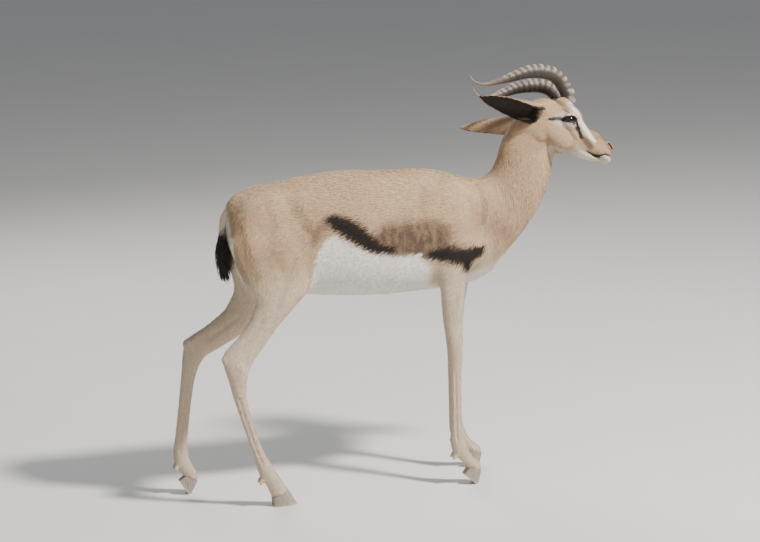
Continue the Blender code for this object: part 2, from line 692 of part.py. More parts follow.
def horn(name, side, nodes):
    """A horn with rings that stand out most at the front, and a smooth tip."""
    ringed_loops, tip_loops, sides = 2 * HORN_RINGS + 1, 9, 10
    count = ringed_loops + tip_loops
    points = smooth_route([p * Vector((1, side, 1)) for p in HORN_ROUTE], count)
    root = points[0].copy()
    roll, lean, spread = (math.radians(turn) for turn in HORN_TURN[side])
    turn = Matrix.Rotation(roll, 3, "X") @ Matrix.Rotation(spread, 3, "Z") @ Matrix.Rotation(lean, 3, "Y")
    points = [root + turn @ (point - root) * HORN_SIZE[side] for point in points]
    bm = bmesh.new()
    rings = []
    for k, point in enumerate(points):
        share = k / (count - 1)
        ahead = (points[min(k + 1, count - 1)] - points[max(k - 1, 0)]).normalized()
        across = Vector((0, side, 0))
        across = (across - ahead * ahead.dot(across)).normalized()
        front = across.cross(ahead) * side
        radius = HORN_RADIUS * (1 - 0.08 * share) * (1 - 0.93 * smoothstep(0.38, 1.04, share))
        crest = (k % 2) * (1 - smoothstep(ringed_loops - 6, ringed_loops, k))
        loop = []
        for s in range(sides):
            turn = 2 * math.pi * s / sides
            forward = math.cos(turn)
            swell = 1 + 0.15 * crest * (0.6 + 0.4 * forward)
            offset = front * (forward * 1.05) + across * (math.sin(turn) * 0.86)
            loop.append(bm.verts.new(point + offset * radius * swell))
        rings.append(loop)
    for low, high in zip(rings, rings[1:]):
        for s in range(sides):
            after = (s + 1) % sides
            bm.faces.new((low[s], low[after], high[after], high[s]))
    bm.faces.new(rings[0][::-1])
    bm.faces.new(rings[-1])
    bm.transform(head_frame())
    return mesh_object(name, bm, nodes)


def ear(name, side, nodes):
    """A long leaf-shaped ear: a cup that opens outwards and down, closing to a tube at its root."""
    root = EAR_AT * Vector((1, side, 1))
    along = EAR_TIP[side] - root
    length = along.length
    along.normalize()
    open_to = (EAR_OPEN[side] - along * along.dot(EAR_OPEN[side])).normalized()
    across = along.cross(open_to) * side
    lengths, widths = 13, 7
    bm = bmesh.new()
    outer, inner = [], []
    for i in range(lengths):
        share = i / (lengths - 1)
        leaf = math.sin(math.pi * min(1.0, 0.15 + 0.86 * share**0.9)) ** 0.62
        half = EAR_WIDTH / 2 * max(0.13, leaf)
        curl = math.radians(115 - 58 * smoothstep(0.0, 0.7, share))
        radius = half / math.sin(min(curl, math.pi / 2))
        thick = 0.0032 * (1 - 0.5 * share)
        bow = 0.009 * math.sin(math.pi * share)
        middle = root + along * (length * share) + open_to * (radius * 0.45 + bow)
        rows = []
        for reach in (radius, max(radius - thick, 0.25 * radius)):
            row = []
            for j in range(widths):
                turn = curl * (2 * j / (widths - 1) - 1)
                spoke = across * math.sin(turn) - open_to * math.cos(turn)
                row.append(bm.verts.new(middle + spoke * reach))
            rows.append(row)
        outer.append(rows[0])
        inner.append(rows[1])
    for i in range(lengths - 1):
        for j in range(widths - 1):
            for skin in (outer, inner):
                a, b, c, d = skin[i][j], skin[i][j + 1], skin[i + 1][j + 1], skin[i + 1][j]
                bm.faces.new((a, b, c))
                bm.faces.new((a, c, d))
        for j in (0, widths - 1):
            bm.faces.new((outer[i][j], outer[i + 1][j], inner[i + 1][j], inner[i][j]))
    for i in (0, lengths - 1):
        for j in range(widths - 1):
            bm.faces.new((outer[i][j], outer[i][j + 1], inner[i][j + 1], inner[i][j]))
    bm.transform(head_frame())
    return mesh_object(name, bm, nodes)


def hoof(name, toe, side, nodes, length, tilt):
    """One claw of a cloven hoof, standing on its toe by the tilt, on a flat at the floor."""
    half, spread, sides = 0.0067, 0.0077, 14
    front_top = Vector((-0.0155, 0, 0.0285))
    heel_top = Vector((-length - 0.0010, 0, 0.0165))
    rings = []
    bm = bmesh.new()
    for rise in (0.0, 0.35, 0.75, 1.0):
        ring = []
        for k in range(sides):
            turn = 2 * math.pi * k / sides
            ahead, aside = math.cos(turn), math.sin(turn)
            sharp = smoothstep(0.1, 1.0, ahead)
            sole = Vector(((ahead - 1) / 2 * length, half * aside * (1 - 0.55 * sharp), 0))
            top = heel_top.lerp(front_top, (ahead + 1) / 2)
            top.y = half * 0.97 * aside * (1 - 0.2 * sharp)
            spot = sole.lerp(top, rise)
            spot.y += side * (spread - 0.0013 * (ahead + 1) / 2)
            ring.append(bm.verts.new(spot))
        rings.append(ring)
    for low, high in zip(rings, rings[1:]):
        for k in range(sides):
            after = (k + 1) % sides
            bm.faces.new((low[k], low[after], high[after], high[k]))
    bm.faces.new(rings[0][::-1])
    bm.faces.new(rings[-1])
    sink = -0.0042 if tilt else 0.0
    turn = Matrix.Rotation(math.radians(tilt), 4, "Y")
    bm.transform(Matrix.Translation(Vector(toe) + Vector((0, 0, sink))) @ turn)
    if tilt:
        geom = [*bm.verts, *bm.edges, *bm.faces]
        floor = {"plane_co": (0, 0, 0), "plane_no": (0, 0, -1), "clear_outer": True}
        cut = bmesh.ops.bisect_plane(bm, geom=geom, **floor)["geom_cut"]
        bmesh.ops.contextual_create(bm, geom=[e for e in cut if isinstance(e, bmesh.types.BMEdge)])
    return mesh_object(name, bm, nodes)


def tail_lock(root, direction, length, width, bend, home):
    """One flat tapered lock of the tail's black hair."""
    bm = bmesh.new()
    side = direction.cross(Vector((1, 0.2, 0))).normalized()
    flat = direction.cross(side).normalized()
    rings = []
    for share, wide in ((-0.12, 0.8), (0.3, 1.0), (0.7, 0.72)):
        middle = root + direction * (length * share) + flat * (bend * share * share)
        half, thick = width / 2 * wide, 0.0011
        corners = ((half, 0), (0, thick), (-half, 0), (0, -thick))
        rings.append([bm.verts.new(middle + side * a + flat * b) for a, b in corners])
    tip = bm.verts.new(root + direction * length + flat * bend)
    for low, high in zip(rings, rings[1:]):
        for k in range(4):
            bm.faces.new((low[k], low[(k + 1) % 4], high[(k + 1) % 4], high[k]))
    for k in range(4):
        bm.faces.new((rings[-1][k], rings[-1][(k + 1) % 4], tip))
    bm.faces.new(rings[0][::-1])
    return mesh_object("lock", bm, home)


TAIL_ROUTE = (
    Vector((-0.2740, 0, 0.5500)),
    Vector((-0.2890, 0, 0.5280)),
    Vector((-0.2955, 0, 0.4950)),
    Vector((-0.2985, 0, 0.4600)),
    Vector((-0.2960, 0, 0.4330)),
)


def tail(nodes):
    """A thin tail whose lower half carries long black locks."""
    points = smooth_route(TAIL_ROUTE, 9)
    radii = [0.0085 - 0.0045 * k / 8 for k in range(9)]
    made = tube("tail", points, radii, nodes, sides=8)
    draws = np.random.default_rng(7)
    locks = collection("locks")
    tiers = 5
    for tier in range(tiers):
        share = 0.42 + 0.53 * tier / (tiers - 1)
        low = int(share * 8)
        centre = points[low].lerp(points[min(low + 1, 8)], share * 8 - low)
        around = 6 if tier < tiers - 1 else 3
        for k in range(around):
            turn = 2 * math.pi * (k + 0.5 * (tier % 2)) / around + draws.uniform(-0.15, 0.15)
            out = Vector((math.cos(turn), math.sin(turn), 0))
            direction = (Vector((0.05, 0, -1)) + out * 0.26).normalized()
            length = 0.034 + draws.uniform(-0.003, 0.004)
            bend = draws.uniform(-0.002, 0.002)
            tail_lock(centre + out * 0.0030, direction, length, 0.0115, bend, locks)
    join = made.modifiers.new("join", "BOOLEAN")
    join.operation = "UNION"
    join.operand_type = "COLLECTION"
    join.collection = locks
    join.solver = "EXACT"
    apply_modifiers(made)
    remove(locks.objects)
    bpy.data.collections.remove(locks)
    return keep_largest(made)


FEET = {
    "fore_right": ((0.1600, -0.0600, 0), 0.036, 42),
    "fore_left": ((0.1975, 0.0540, 0), 0.036, 42),
    "hind_right": ((-0.1905, -0.0700, 0), 0.045, 0),
    "hind_left": ((-0.3655, 0.0700, 0), 0.036, 58),
}


def hooves(nodes):
    made = []
    for foot, (toe, length, tilt) in FEET.items():
        for side, word in ((RIGHT, "right"), (LEFT, "left")):
            made.append(hoof(f"hoof_{foot}_{word}_claw", toe, side, nodes, length, tilt))
    return made


def clear_of(obj, others, workshop, by=GAP):
    """Cuts a piece back to the gap from each piece that it grows from."""
    for other in others:
        cutter = swollen(other, by, workshop)
        boolean(obj, cutter, "DIFFERENCE")
        remove([cutter])
    return keep_largest(obj)


def finish(obj, look, sharp=38):
    obj.data.materials.clear()
    obj.data.materials.append(look)
    obj.data.shade_smooth()
    obj.data.set_sharp_from_angle(angle=math.radians(sharp))


def centre_on_floor(objects):
    """Puts the origin under the middle of the whole animal's box, on the floor."""
    spots = np.concatenate([points_of(obj) for obj in objects])
    low, high = spots.min(0), spots.max(0)
    shift = -np.array([(low[0] + high[0]) / 2, (low[1] + high[1]) / 2, low[2]])
    for obj in objects:
        set_points(obj, points_of(obj) + shift)


def main():
    for obj in list(bpy.data.objects):
        bpy.data.objects.remove(obj)
    nodes = collection("spekes_gazelle")
    workshop = collection("workshop")
    forms = collection("forms")

    torso_forms(forms)
    neck_forms(forms)
    for side in (RIGHT, LEFT):
        shoulder_forms(forms, side)
    right_foreleg(forms)
    left_foreleg(forms)
    right_hindleg(forms)
    left_hindleg(forms)
    head_forms(forms)
    whole = fuse("whole", forms, workshop, BODY_VOXEL, 34)
    thin_out(whole, BUDGET["body"])
    made = part_body(whole, nodes, workshop)

    neck_forms(forms)
    head_forms(forms)
    head = fuse("head", forms, nodes, HEAD_VOXEL, 7)
    carve_head(head)
    thin_out(head, BUDGET["head"])
    made["head"] = part_head(head, workshop)

    horns, ears, eyes = [], [], []
    for side, word in ((RIGHT, "right"), (LEFT, "left")):
        horns.append(clear_of(horn("horn_" + word, side, nodes), [made["head"]], workshop))
        cut_from = [made["head"], made["neck"]]
        ears.append(clear_of(ear("ear_" + word, side, nodes), cut_from, workshop))
        eyes.append(eyeball("eye_" + word, side, nodes, EYE_RADIUS))
    tail_node = clear_of(tail(nodes), [made["torso"]], workshop)
    claws = hooves(nodes)
    legs = [made[name] for name in LEGS]
    for leg in legs:
        for claw in claws:
            cutter = swollen(claw, GAP, workshop)
            boolean(leg, cutter, "DIFFERENCE")
            remove([cutter])
        keep_largest(leg)

    coat = material("coat", (0.55, 0.40, 0.26), 0.85)
    horn_look = material("horn", (0.10, 0.08, 0.06), 0.45)
    hoof_look = material("hoof", (0.06, 0.05, 0.045), 0.40)
    eye_look = material("eye", (0.02, 0.012, 0.008), 0.08)
    tail_look = material("tail_hair", (0.02, 0.018, 0.016), 0.70)
    for obj in made.values():
        finish(obj, coat)
    for obj in ears:
        finish(obj, coat)
    for obj in horns:
        finish(obj, horn_look)
    for obj in claws:
        finish(obj, hoof_look)
    for obj in eyes:
        finish(obj, eye_look)
    finish(tail_node, tail_look)
    centre_on_floor([*made.values(), *ears, *horns, *claws, *eyes, tail_node])
    for spare in (forms, workshop):
        remove(spare.objects)
        bpy.data.collections.remove(spare)


main()
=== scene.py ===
"""The looks of a life-size Speke's gazelle: one skin with its coat, eyes, horns, hooves and tail.

Metres, +Z up. The animal faces +X and its right side is towards -Y. Shapes are made in the
model's own place, where X and Y start under the withers, and SHIFT moves them onto the frame.
"""

import math

import bmesh
import bpy
import numpy as np
from mathutils import Matrix, Vector
from mathutils.bvhtree import BVHTree


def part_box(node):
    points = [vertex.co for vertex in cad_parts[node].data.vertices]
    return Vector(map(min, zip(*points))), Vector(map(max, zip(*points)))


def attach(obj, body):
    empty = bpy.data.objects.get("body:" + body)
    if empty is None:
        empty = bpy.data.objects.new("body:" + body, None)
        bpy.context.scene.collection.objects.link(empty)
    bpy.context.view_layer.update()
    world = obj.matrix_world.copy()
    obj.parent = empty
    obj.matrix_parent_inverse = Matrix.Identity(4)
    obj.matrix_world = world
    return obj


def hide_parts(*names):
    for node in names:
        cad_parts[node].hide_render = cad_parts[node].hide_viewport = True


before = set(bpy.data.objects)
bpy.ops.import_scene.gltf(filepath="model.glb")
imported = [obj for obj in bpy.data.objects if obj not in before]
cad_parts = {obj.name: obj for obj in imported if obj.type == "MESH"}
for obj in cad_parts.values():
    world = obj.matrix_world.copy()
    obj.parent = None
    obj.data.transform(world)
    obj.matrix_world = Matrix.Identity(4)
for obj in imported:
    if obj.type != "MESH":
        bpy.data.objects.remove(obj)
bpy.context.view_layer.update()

# Driving sizes of the animal, as its solids have them
RIGHT = -1
LEFT = 1
SIDES = ((RIGHT, "right"), (LEFT, "left"))
HEAD_AT = Vector((0.3123, 0.0, 0.6693))
HEAD_PITCH = math.radians(35)
HEAD_YAW = math.radians(-16)
HEAD_ROLL = math.radians(-22)
EYE_AT = Vector((0.0480, 0.0268, 0.0262))
EYE_RADIUS = 0.0148
LID_EDGES = (0.0066, -0.0060)
LID_ROW = 0.0021
LID_HALF = 0.0120
LID_RISE = 0.0056
LID_DROP = 0.0014
HORN_ROUTE = (
    Vector((0.0300, 0.0180, 0.0440)),
    Vector((0.0258, 0.0195, 0.0650)),
    Vector((0.0088, 0.0220, 0.0771)),
    Vector((-0.0123, 0.0285, 0.0826)),
    Vector((-0.0361, 0.0375, 0.0767)),
    Vector((-0.0660, 0.0445, 0.0545)),
    Vector((-0.0950, 0.0460, 0.0183)),
    Vector((-0.1200, 0.0410, -0.0085)),
    Vector((-0.1395, 0.0350, -0.0142)),
    Vector((-0.1540, 0.0310, -0.0088)),
)
HORN_RADIUS = 0.0126
HORN_RINGS = 16
HORN_SIZE = {RIGHT: 1.0, LEFT: 0.90}
HORN_TURN = {RIGHT: (0, 0, 0), LEFT: (-8, -3, 4)}
EAR_AT = Vector((-0.0060, 0.0310, 0.0135))
EAR_TIP = {RIGHT: Vector((-0.1224, -0.0850, -0.0499)), LEFT: Vector((-0.1080, 0.0980, -0.0640))}
EAR_OPEN = {RIGHT: Vector((0.0, -0.70, -0.95)), LEFT: Vector((0.0, 1.0, -0.70))}
EAR_WIDTH = 0.046

# How finely the skin is made, and where its two halves meet on the neck
BODY_VOXEL = 0.0024
HEAD_VOXEL = 0.0012
BODY_ROUNDS = 66
HEAD_ROUNDS = 12
NECK_JOIN = (Vector((0.281, 0, 0.572)), Vector((0.66, 0, 0.75)).normalized())

# The coat: its depth, how far its roots sink in, how many times over its locks cover the skin,
# the share of them that is grown, and the size of a lock's patch in the bake's map
TRUNK_DEPTH = 0.0022
LEG_DEPTH = 0.0009
FACE_DEPTH = 0.0006
EAR_DEPTH = 0.0004
ROOT_SINK = 0.0003
COVER = 1.5
THICKNESS_OF_COAT = 1.0
PATCH = 0.003

# How deep lines are pressed into the skin, how far its folds stand out, and the folds' spacing
MOUTH_DEPTH = 0.0026
CHIN_NOTCH_DEPTH = 0.0030
LIP_CLEFT_DEPTH = 0.0012
NOSTRIL_DEPTH = 0.0044
NOSTRIL_WING = 0.0016
TEAR_SLIT_DEPTH = 0.0030
NOSE_FOLD_RISE = 0.0018
NOSE_FOLD_GAP = 0.0085
LEG_GROOVE_DEPTH = 0.0018
TENDON_HOLLOW_DEPTH = 0.0019
NECK_FOLD_DEPTH = 0.00045
NECK_FOLD_GAP = 0.0135

# The photograph's camera, round the model's own place
CAMERA_FROM = Vector((-1.01287647, -3.78010643, 1.1155))
CAMERA_TO = Vector((0, 0, 0.4074))
CAMERA_ROLL = math.radians(1.8)
FOCAL_PIXELS = 2140.2
PHOTO_WIDTH = 760


# Small helpers


def smoothstep(low, high, value):
    share = np.clip((value - low) / (high - low), 0, 1)
    return share * share * (3 - 2 * share)


def fall(distance):
    """A bump's height at a distance in its own radii: 1 at the centre, 0 from 1 on."""
    return np.clip(1 - distance**2, 0, None) ** 2


def head_frame():
    return (
        Matrix.Translation(HEAD_AT)
        @ Matrix.Rotation(HEAD_YAW, 4, "Z")
        @ Matrix.Rotation(HEAD_PITCH, 4, "Y")
        @ Matrix.Rotation(HEAD_ROLL, 4, "X")
    )


HEAD = np.array(head_frame())


def in_head(points):
    """Points of the model's place in the head's own frame."""
    return (points - HEAD[:3, 3]) @ HEAD[:3, :3]


def on_head(points):
    """How much each point belongs to the head and not to the neck."""
    x, _, z = in_head(points).T
    muzzle = smoothstep(0.055, 0.070, x) * smoothstep(-0.045, -0.035, z)
    return smoothstep(-0.040, -0.005, x) * np.maximum(smoothstep(0.600, 0.630, points[:, 2]), muzzle)


def frame_shift():
    """From the model's own place to the frame, read off the right eye's solid."""
    low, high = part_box("eye_right")
    return (low + high) / 2 - head_frame() @ (EYE_AT * Vector((1, RIGHT, 1)))


SHIFT = frame_shift()


def new_object(name, mesh):
    made = bpy.data.objects.new(name, mesh)
    bpy.context.scene.collection.objects.link(made)
    return made


def mesh_of(name, bm):
    mesh = bpy.data.meshes.new(name)
    bm.to_mesh(mesh)
    bm.free()
    return mesh


def points_of(mesh):
    flat = np.empty(len(mesh.vertices) * 3, np.float32)
    mesh.vertices.foreach_get("co", flat)
    return flat.reshape(-1, 3).astype(float)


def normals_of(mesh):
    flat = np.empty(len(mesh.vertices) * 3, np.float32)
    mesh.vertices.foreach_get("normal", flat)
    return flat.reshape(-1, 3).astype(float)


def set_points(mesh, points):
    mesh.vertices.foreach_set("co", points.astype(np.float32).ravel())
    mesh.update()


def applied(obj):
    """The object's mesh as its modifiers leave it."""
    bpy.context.view_layer.update()
    graph = bpy.context.evaluated_depsgraph_get()
    mesh = bpy.data.meshes.new_from_object(obj.evaluated_get(graph))
    obj.modifiers.clear()
    obj.data = mesh
    return obj


def unit(rows):
    return rows / np.maximum(np.linalg.norm(rows, axis=1, keepdims=True), 1e-9)


def smoothed(mesh, rounds, share):
    """Evens the surface out; each vertex moves by its own share."""
    points = points_of(mesh)
    pairs = np.empty(len(mesh.edges) * 2, np.int32)
    mesh.edges.foreach_get("vertices", pairs)
    one, two = pairs[0::2], pairs[1::2]
    count = np.bincount(pairs, minlength=len(points))[:, None]
    for _ in range(rounds):
        total = np.stack(
            [
                np.bincount(one, points[two, axis], len(points))
                + np.bincount(two, points[one, axis], len(points))
                for axis in range(3)
            ],
            1,
        )
        points += 0.5 * share[:, None] * (total / count - points)
    set_points(mesh, points)


# The shapes that the body is made of


def smooth_rows(rows, steps=3):
    """More sections between the given ones, on smooth curves through them."""
    full = [(*first, *second, half, *rest) for first, second, half, *rest in rows]
    width = max(len(row) for row in full)
    known = np.array([row + (0.0,) * (width - len(row)) for row in full])
    dense = [known[0]]
    for k in range(len(known) - 1):
        before, here = known[max(k - 1, 0)], known[k]
        there, after = known[k + 1], known[min(k + 2, len(known) - 1)]
        for step in range(1, steps + 1):
            t = step / steps
            dense.append(
                0.5
                * (
                    2 * here
                    + (there - before) * t
                    + (2 * before - 5 * here + 4 * there - after) * t * t
                    + (3 * here - before - 3 * there + after) * t**3
                )
            )
    return dense


def loft(bm, rows, sides=36, square=2.2, egg=0.0, home=None):
    """A closed body through sections, each between two points in XZ with its half width and,
    if it isn't 0, its middle in Y. An egg above 0 narrows each towards its first edge."""
    rings = []
    for row in smooth_rows(rows):
        middle_y = row[5] if len(row) > 5 else 0.0
        one = Vector((row[0], middle_y, row[1]))
        two = Vector((row[2], middle_y, row[3]))
        middle, reach = (one + two) / 2, (one - two) / 2
        ring = []
        for k in range(sides):
            turn = 2 * math.pi * k / sides
            up, across = math.cos(turn), math.sin(turn)
            up = math.copysign(abs(up) ** (2 / square), up)
            across = math.copysign(abs(across) ** (2 / square), across)
            out = Vector((0, row[4] * across * (1 - egg * up), 0))
            ring.append(bm.verts.new(middle + reach * up + out))
        rings.append(ring)
    close_rings(bm, rings, home)


def tube(bm, points, radii, sides=16, home=None):
    """A closed tube through points, with its own radius at each."""
    rings = []
    side = None
    for k, point in enumerate(points):
        ahead = (points[min(k + 1, len(points) - 1)] - points[max(k - 1, 0)]).normalized()
        side = side or ahead.orthogonal()
        side = (side - ahead * ahead.dot(side)).normalized()
        up = ahead.cross(side)
        ring = []
        for s in range(sides):
            turn = 2 * math.pi * s / sides
            ring.append(bm.verts.new(point + (side * math.cos(turn) + up * math.sin(turn)) * radii[k]))
        rings.append(ring)
    close_rings(bm, rings, home)


def close_rings(bm, rings, home=None):
    """Skins rings of vertices in turn and closes both ends."""
    sides = len(rings[0])
    for low, high in zip(rings, rings[1:]):
        for k in range(sides):
            after = (k + 1) % sides
            bm.faces.new((low[k], low[after], high[after], high[k]))
    bm.faces.new(rings[0][::-1])
    bm.faces.new(rings[-1])
    if home:
        bmesh.ops.transform(bm, matrix=home, verts=[vert for ring in rings for vert in ring])


def mass(bm, at, radii, pitch=0.0, yaw=0.0, roll=0.0, home=None):
    """A muscle or a bony lump: an ellipsoid, turned by degrees."""
    turn = (
        Matrix.Rotation(math.radians(yaw), 4, "Z")
        @ Matrix.Rotation(math.radians(pitch), 4, "Y")
        @ Matrix.Rotation(math.radians(roll), 4, "X")
    )
    place = (home or Matrix()) @ Matrix.Translation(at) @ turn @ Matrix.Diagonal((*radii, 1))
    bmesh.ops.create_uvsphere(bm, u_segments=32, v_segments=20, radius=1, matrix=place)


def torso_forms(bm):
    """The trunk from the buttocks to the chest, with its withers and croup."""
    rows = [
        ((-0.290, 0.545), (-0.287, 0.470), 0.030),
        ((-0.274, 0.568), (-0.270, 0.435), 0.050),
        ((-0.245, 0.582), (-0.235, 0.405), 0.063),
        ((-0.190, 0.590), (-0.180, 0.382), 0.069),
        ((-0.130, 0.598), (-0.120, 0.373), 0.074),
        ((-0.060, 0.602), (-0.055, 0.367), 0.080),
        ((0.010, 0.597), (0.010, 0.364), 0.080),
        ((0.080, 0.597), (0.075, 0.366), 0.072),
        ((0.130, 0.588), (0.130, 0.368), 0.062),
        ((0.175, 0.571), (0.185, 0.376), 0.053),
        ((0.215, 0.548), (0.222, 0.396), 0.043),
        ((0.243, 0.510), (0.250, 0.430), 0.027),
    ]
    loft(bm, rows, square=2.2, sides=48, egg=0.17)
    mass(bm, (0.085, 0, 0.580), (0.075, 0.018, 0.016), pitch=6)
    mass(bm, (-0.175, 0, 0.573), (0.080, 0.030, 0.018), pitch=-8)


def neck_forms(bm):
    rows = [
        ((0.130, 0.575), (0.205, 0.395), 0.050),
        ((0.186, 0.571), (0.250, 0.430), 0.053),
        ((0.216, 0.577), (0.289, 0.471), 0.048),
        ((0.233, 0.607), (0.320, 0.516), 0.042),
        ((0.243, 0.636), (0.338, 0.566), 0.038),
        ((0.257, 0.661), (0.344, 0.600), 0.035),
        ((0.280, 0.684), (0.362, 0.622), 0.033),
        ((0.306, 0.700), (0.374, 0.640), 0.027),
    ]
    loft(bm, rows, square=2.05, sides=40)


def shoulder_forms(bm, side):
    mass(bm, (0.110, side * 0.041, 0.500), (0.046, 0.023, 0.088), pitch=24, roll=side * 9)
    mass(bm, (0.152, side * 0.048, 0.440), (0.062, 0.023, 0.036), pitch=-22, yaw=-side * 7)
    mass(bm, (0.207, side * 0.034, 0.455), (0.030, 0.019, 0.033))
    mass(bm, (0.102, side * 0.054, 0.448), (0.036, 0.017, 0.048), pitch=35)


def haunch_forms(bm, side, stifle):
    """The thigh's masses, swung by where the stifle is."""
    x, z = stifle
    mass(bm, (-0.216, side * 0.031, 0.513), (0.074, 0.038, 0.068), pitch=-25)
    mass(bm, (-0.152, side * 0.041, 0.560), (0.024, 0.013, 0.012), pitch=-10)
    front = ((x - 0.235) / 2 + 0.016, side * 0.050, (z + 0.515) / 2 - 0.004)
    mass(bm, front, (0.042, 0.027, 0.076), pitch=-30)
    mass(bm, (-0.244, side * 0.050, 0.462), (0.041, 0.028, 0.072), pitch=-8)
    mass(bm, (x - 0.004, side * 0.054, z), (0.024, 0.021, 0.030), pitch=-30)


LEG_Y = {"fore_right": -0.056, "fore_left": 0.054, "hind_right": -0.060, "hind_left": 0.060}
LEG_ROWS = {
    "fore_right": (
        ((0.078, 0.440), (0.180, 0.440), 0.022, 0.006),
        ((0.095, 0.411), (0.157, 0.411), 0.0215, 0.002),
        ((0.097, 0.388), (0.151, 0.388), 0.0190, 0.0),
        ((0.100, 0.347), (0.1465, 0.347), 0.0160, 0.0),
        ((0.103, 0.312), (0.1415, 0.312), 0.0142, 0.0),
        ((0.107, 0.286), (0.1395, 0.288), 0.0146, 0.0),
        ((0.1085, 0.266), (0.1405, 0.268), 0.0150, 0.0),
        ((0.112, 0.242), (0.1385, 0.242), 0.0125, -0.001),
        ((0.1125, 0.215), (0.1360, 0.215), 0.0100, -0.002),
        ((0.1120, 0.160), (0.1345, 0.160), 0.0094, -0.003),
        ((0.1105, 0.110), (0.1345, 0.110), 0.0100, -0.004),
        ((0.1095, 0.088), (0.1380, 0.090), 0.0122, -0.004),
        ((0.1120, 0.069), (0.1430, 0.073), 0.0140, -0.004),
        ((0.1195, 0.054), (0.1470, 0.062), 0.0132, -0.004),
        ((0.1295, 0.045), (0.1535, 0.052), 0.0127, -0.004),
        ((0.1380, 0.035), (0.1630, 0.043), 0.0134, -0.004),
        ((0.1430, 0.028), (0.1680, 0.036), 0.0132, -0.004),
        ((0.1475, 0.020), (0.1670, 0.025), 0.0100, -0.004),
    ),
    "fore_left": (
        ((0.098, 0.440), (0.205, 0.440), 0.022, -0.006),
        ((0.122, 0.405), (0.197, 0.405), 0.0215, -0.002),
        ((0.131, 0.378), (0.192, 0.378), 0.0185, 0.0),
        ((0.135, 0.345), (0.185, 0.345), 0.0160, 0.0),
        ((0.137, 0.312), (0.177, 0.312), 0.0142, 0.0),
        ((0.1405, 0.286), (0.1735, 0.286), 0.0146, 0.0),
        ((0.1400, 0.266), (0.1715, 0.268), 0.0150, 0.0),
        ((0.142, 0.242), (0.1685, 0.242), 0.0125, 0.0),
        ((0.1425, 0.215), (0.1660, 0.215), 0.0100, 0.0),
        ((0.1425, 0.160), (0.1650, 0.160), 0.0094, 0.0),
        ((0.1425, 0.110), (0.1665, 0.112), 0.0100, 0.0),
        ((0.1425, 0.085), (0.1700, 0.090), 0.0122, 0.0),
        ((0.1450, 0.067), (0.1745, 0.074), 0.0140, 0.0),
        ((0.1540, 0.052), (0.1800, 0.062), 0.0132, 0.0),
        ((0.1660, 0.043), (0.1880, 0.052), 0.0127, 0.0),
        ((0.1745, 0.035), (0.1985, 0.043), 0.0134, 0.0),
        ((0.1795, 0.028), (0.2045, 0.036), 0.0132, 0.0),
        ((0.1840, 0.020), (0.2035, 0.025), 0.0100, 0.0),
    ),
    "hind_right": (
        ((-0.296, 0.500), (-0.150, 0.500), 0.026, 0.012),
        ((-0.290, 0.462), (-0.134, 0.458), 0.028, 0.008),
        ((-0.276, 0.428), (-0.137, 0.420), 0.026, 0.004),
        ((-0.262, 0.398), (-0.149, 0.392), 0.0235, 0.001),
        ((-0.250, 0.374), (-0.170, 0.372), 0.0205, -0.001),
        ((-0.262, 0.350), (-0.203, 0.340), 0.0165, -0.004),
        ((-0.279, 0.325), (-0.226, 0.314), 0.0135, -0.006),
        ((-0.300, 0.303), (-0.245, 0.290), 0.0128, -0.007),
        ((-0.3155, 0.284), (-0.261, 0.270), 0.0138, -0.008),
        ((-0.3150, 0.264), (-0.269, 0.254), 0.0150, -0.009),
        ((-0.3080, 0.240), (-0.2735, 0.236), 0.0140, -0.009),
        ((-0.3020, 0.212), (-0.2755, 0.208), 0.0114, -0.010),
        ((-0.2930, 0.180), (-0.2690, 0.174), 0.0102, -0.010),
        ((-0.2815, 0.142), (-0.2580, 0.136), 0.0098, -0.010),
        ((-0.2715, 0.108), (-0.2470, 0.101), 0.0103, -0.010),
        ((-0.2655, 0.086), (-0.2350, 0.080), 0.0122, -0.010),
        ((-0.2600, 0.062), (-0.2265, 0.064), 0.0142, -0.010),
        ((-0.2510, 0.046), (-0.2195, 0.052), 0.0134, -0.010),
        ((-0.2440, 0.033), (-0.2130, 0.041), 0.0130, -0.010),
        ((-0.2400, 0.022), (-0.2075, 0.031), 0.0138, -0.010),
        ((-0.2340, 0.013), (-0.2080, 0.019), 0.0105, -0.010),
    ),
    "hind_left": (
        ((-0.296, 0.500), (-0.160, 0.500), 0.026, -0.012),
        ((-0.288, 0.462), (-0.152, 0.455), 0.028, -0.008),
        ((-0.276, 0.425), (-0.158, 0.412), 0.026, -0.004),
        ((-0.268, 0.394), (-0.174, 0.374), 0.0235, -0.001),
        ((-0.266, 0.368), (-0.200, 0.338), 0.0205, 0.001),
        ((-0.276, 0.348), (-0.233, 0.309), 0.0165, 0.004),
        ((-0.300, 0.330), (-0.264, 0.290), 0.0135, 0.006),
        ((-0.329, 0.312), (-0.292, 0.275), 0.0128, 0.007),
        ((-0.3560, 0.294), (-0.320, 0.261), 0.0138, 0.009),
        ((-0.3655, 0.270), (-0.331, 0.250), 0.0150, 0.010),
        ((-0.3690, 0.240), (-0.3395, 0.234), 0.0140, 0.010),
        ((-0.3730, 0.212), (-0.347, 0.208), 0.0114, 0.010),
        ((-0.3775, 0.180), (-0.3530, 0.176), 0.0102, 0.010),
        ((-0.3830, 0.142), (-0.3590, 0.138), 0.0098, 0.010),
        ((-0.3885, 0.108), (-0.3635, 0.104), 0.0103, 0.010),
        ((-0.3925, 0.086), (-0.3640, 0.082), 0.0122, 0.010),
        ((-0.3920, 0.064), (-0.3620, 0.066), 0.0140, 0.010),
        ((-0.3860, 0.050), (-0.3555, 0.052), 0.0134, 0.010),
        ((-0.3800, 0.041), (-0.3495, 0.040), 0.0130, 0.010),
        ((-0.3775, 0.034), (-0.3505, 0.031), 0.0110, 0.010),
    ),
}
KNEES = {"fore_right": 0.1335, "fore_left": 0.1650}
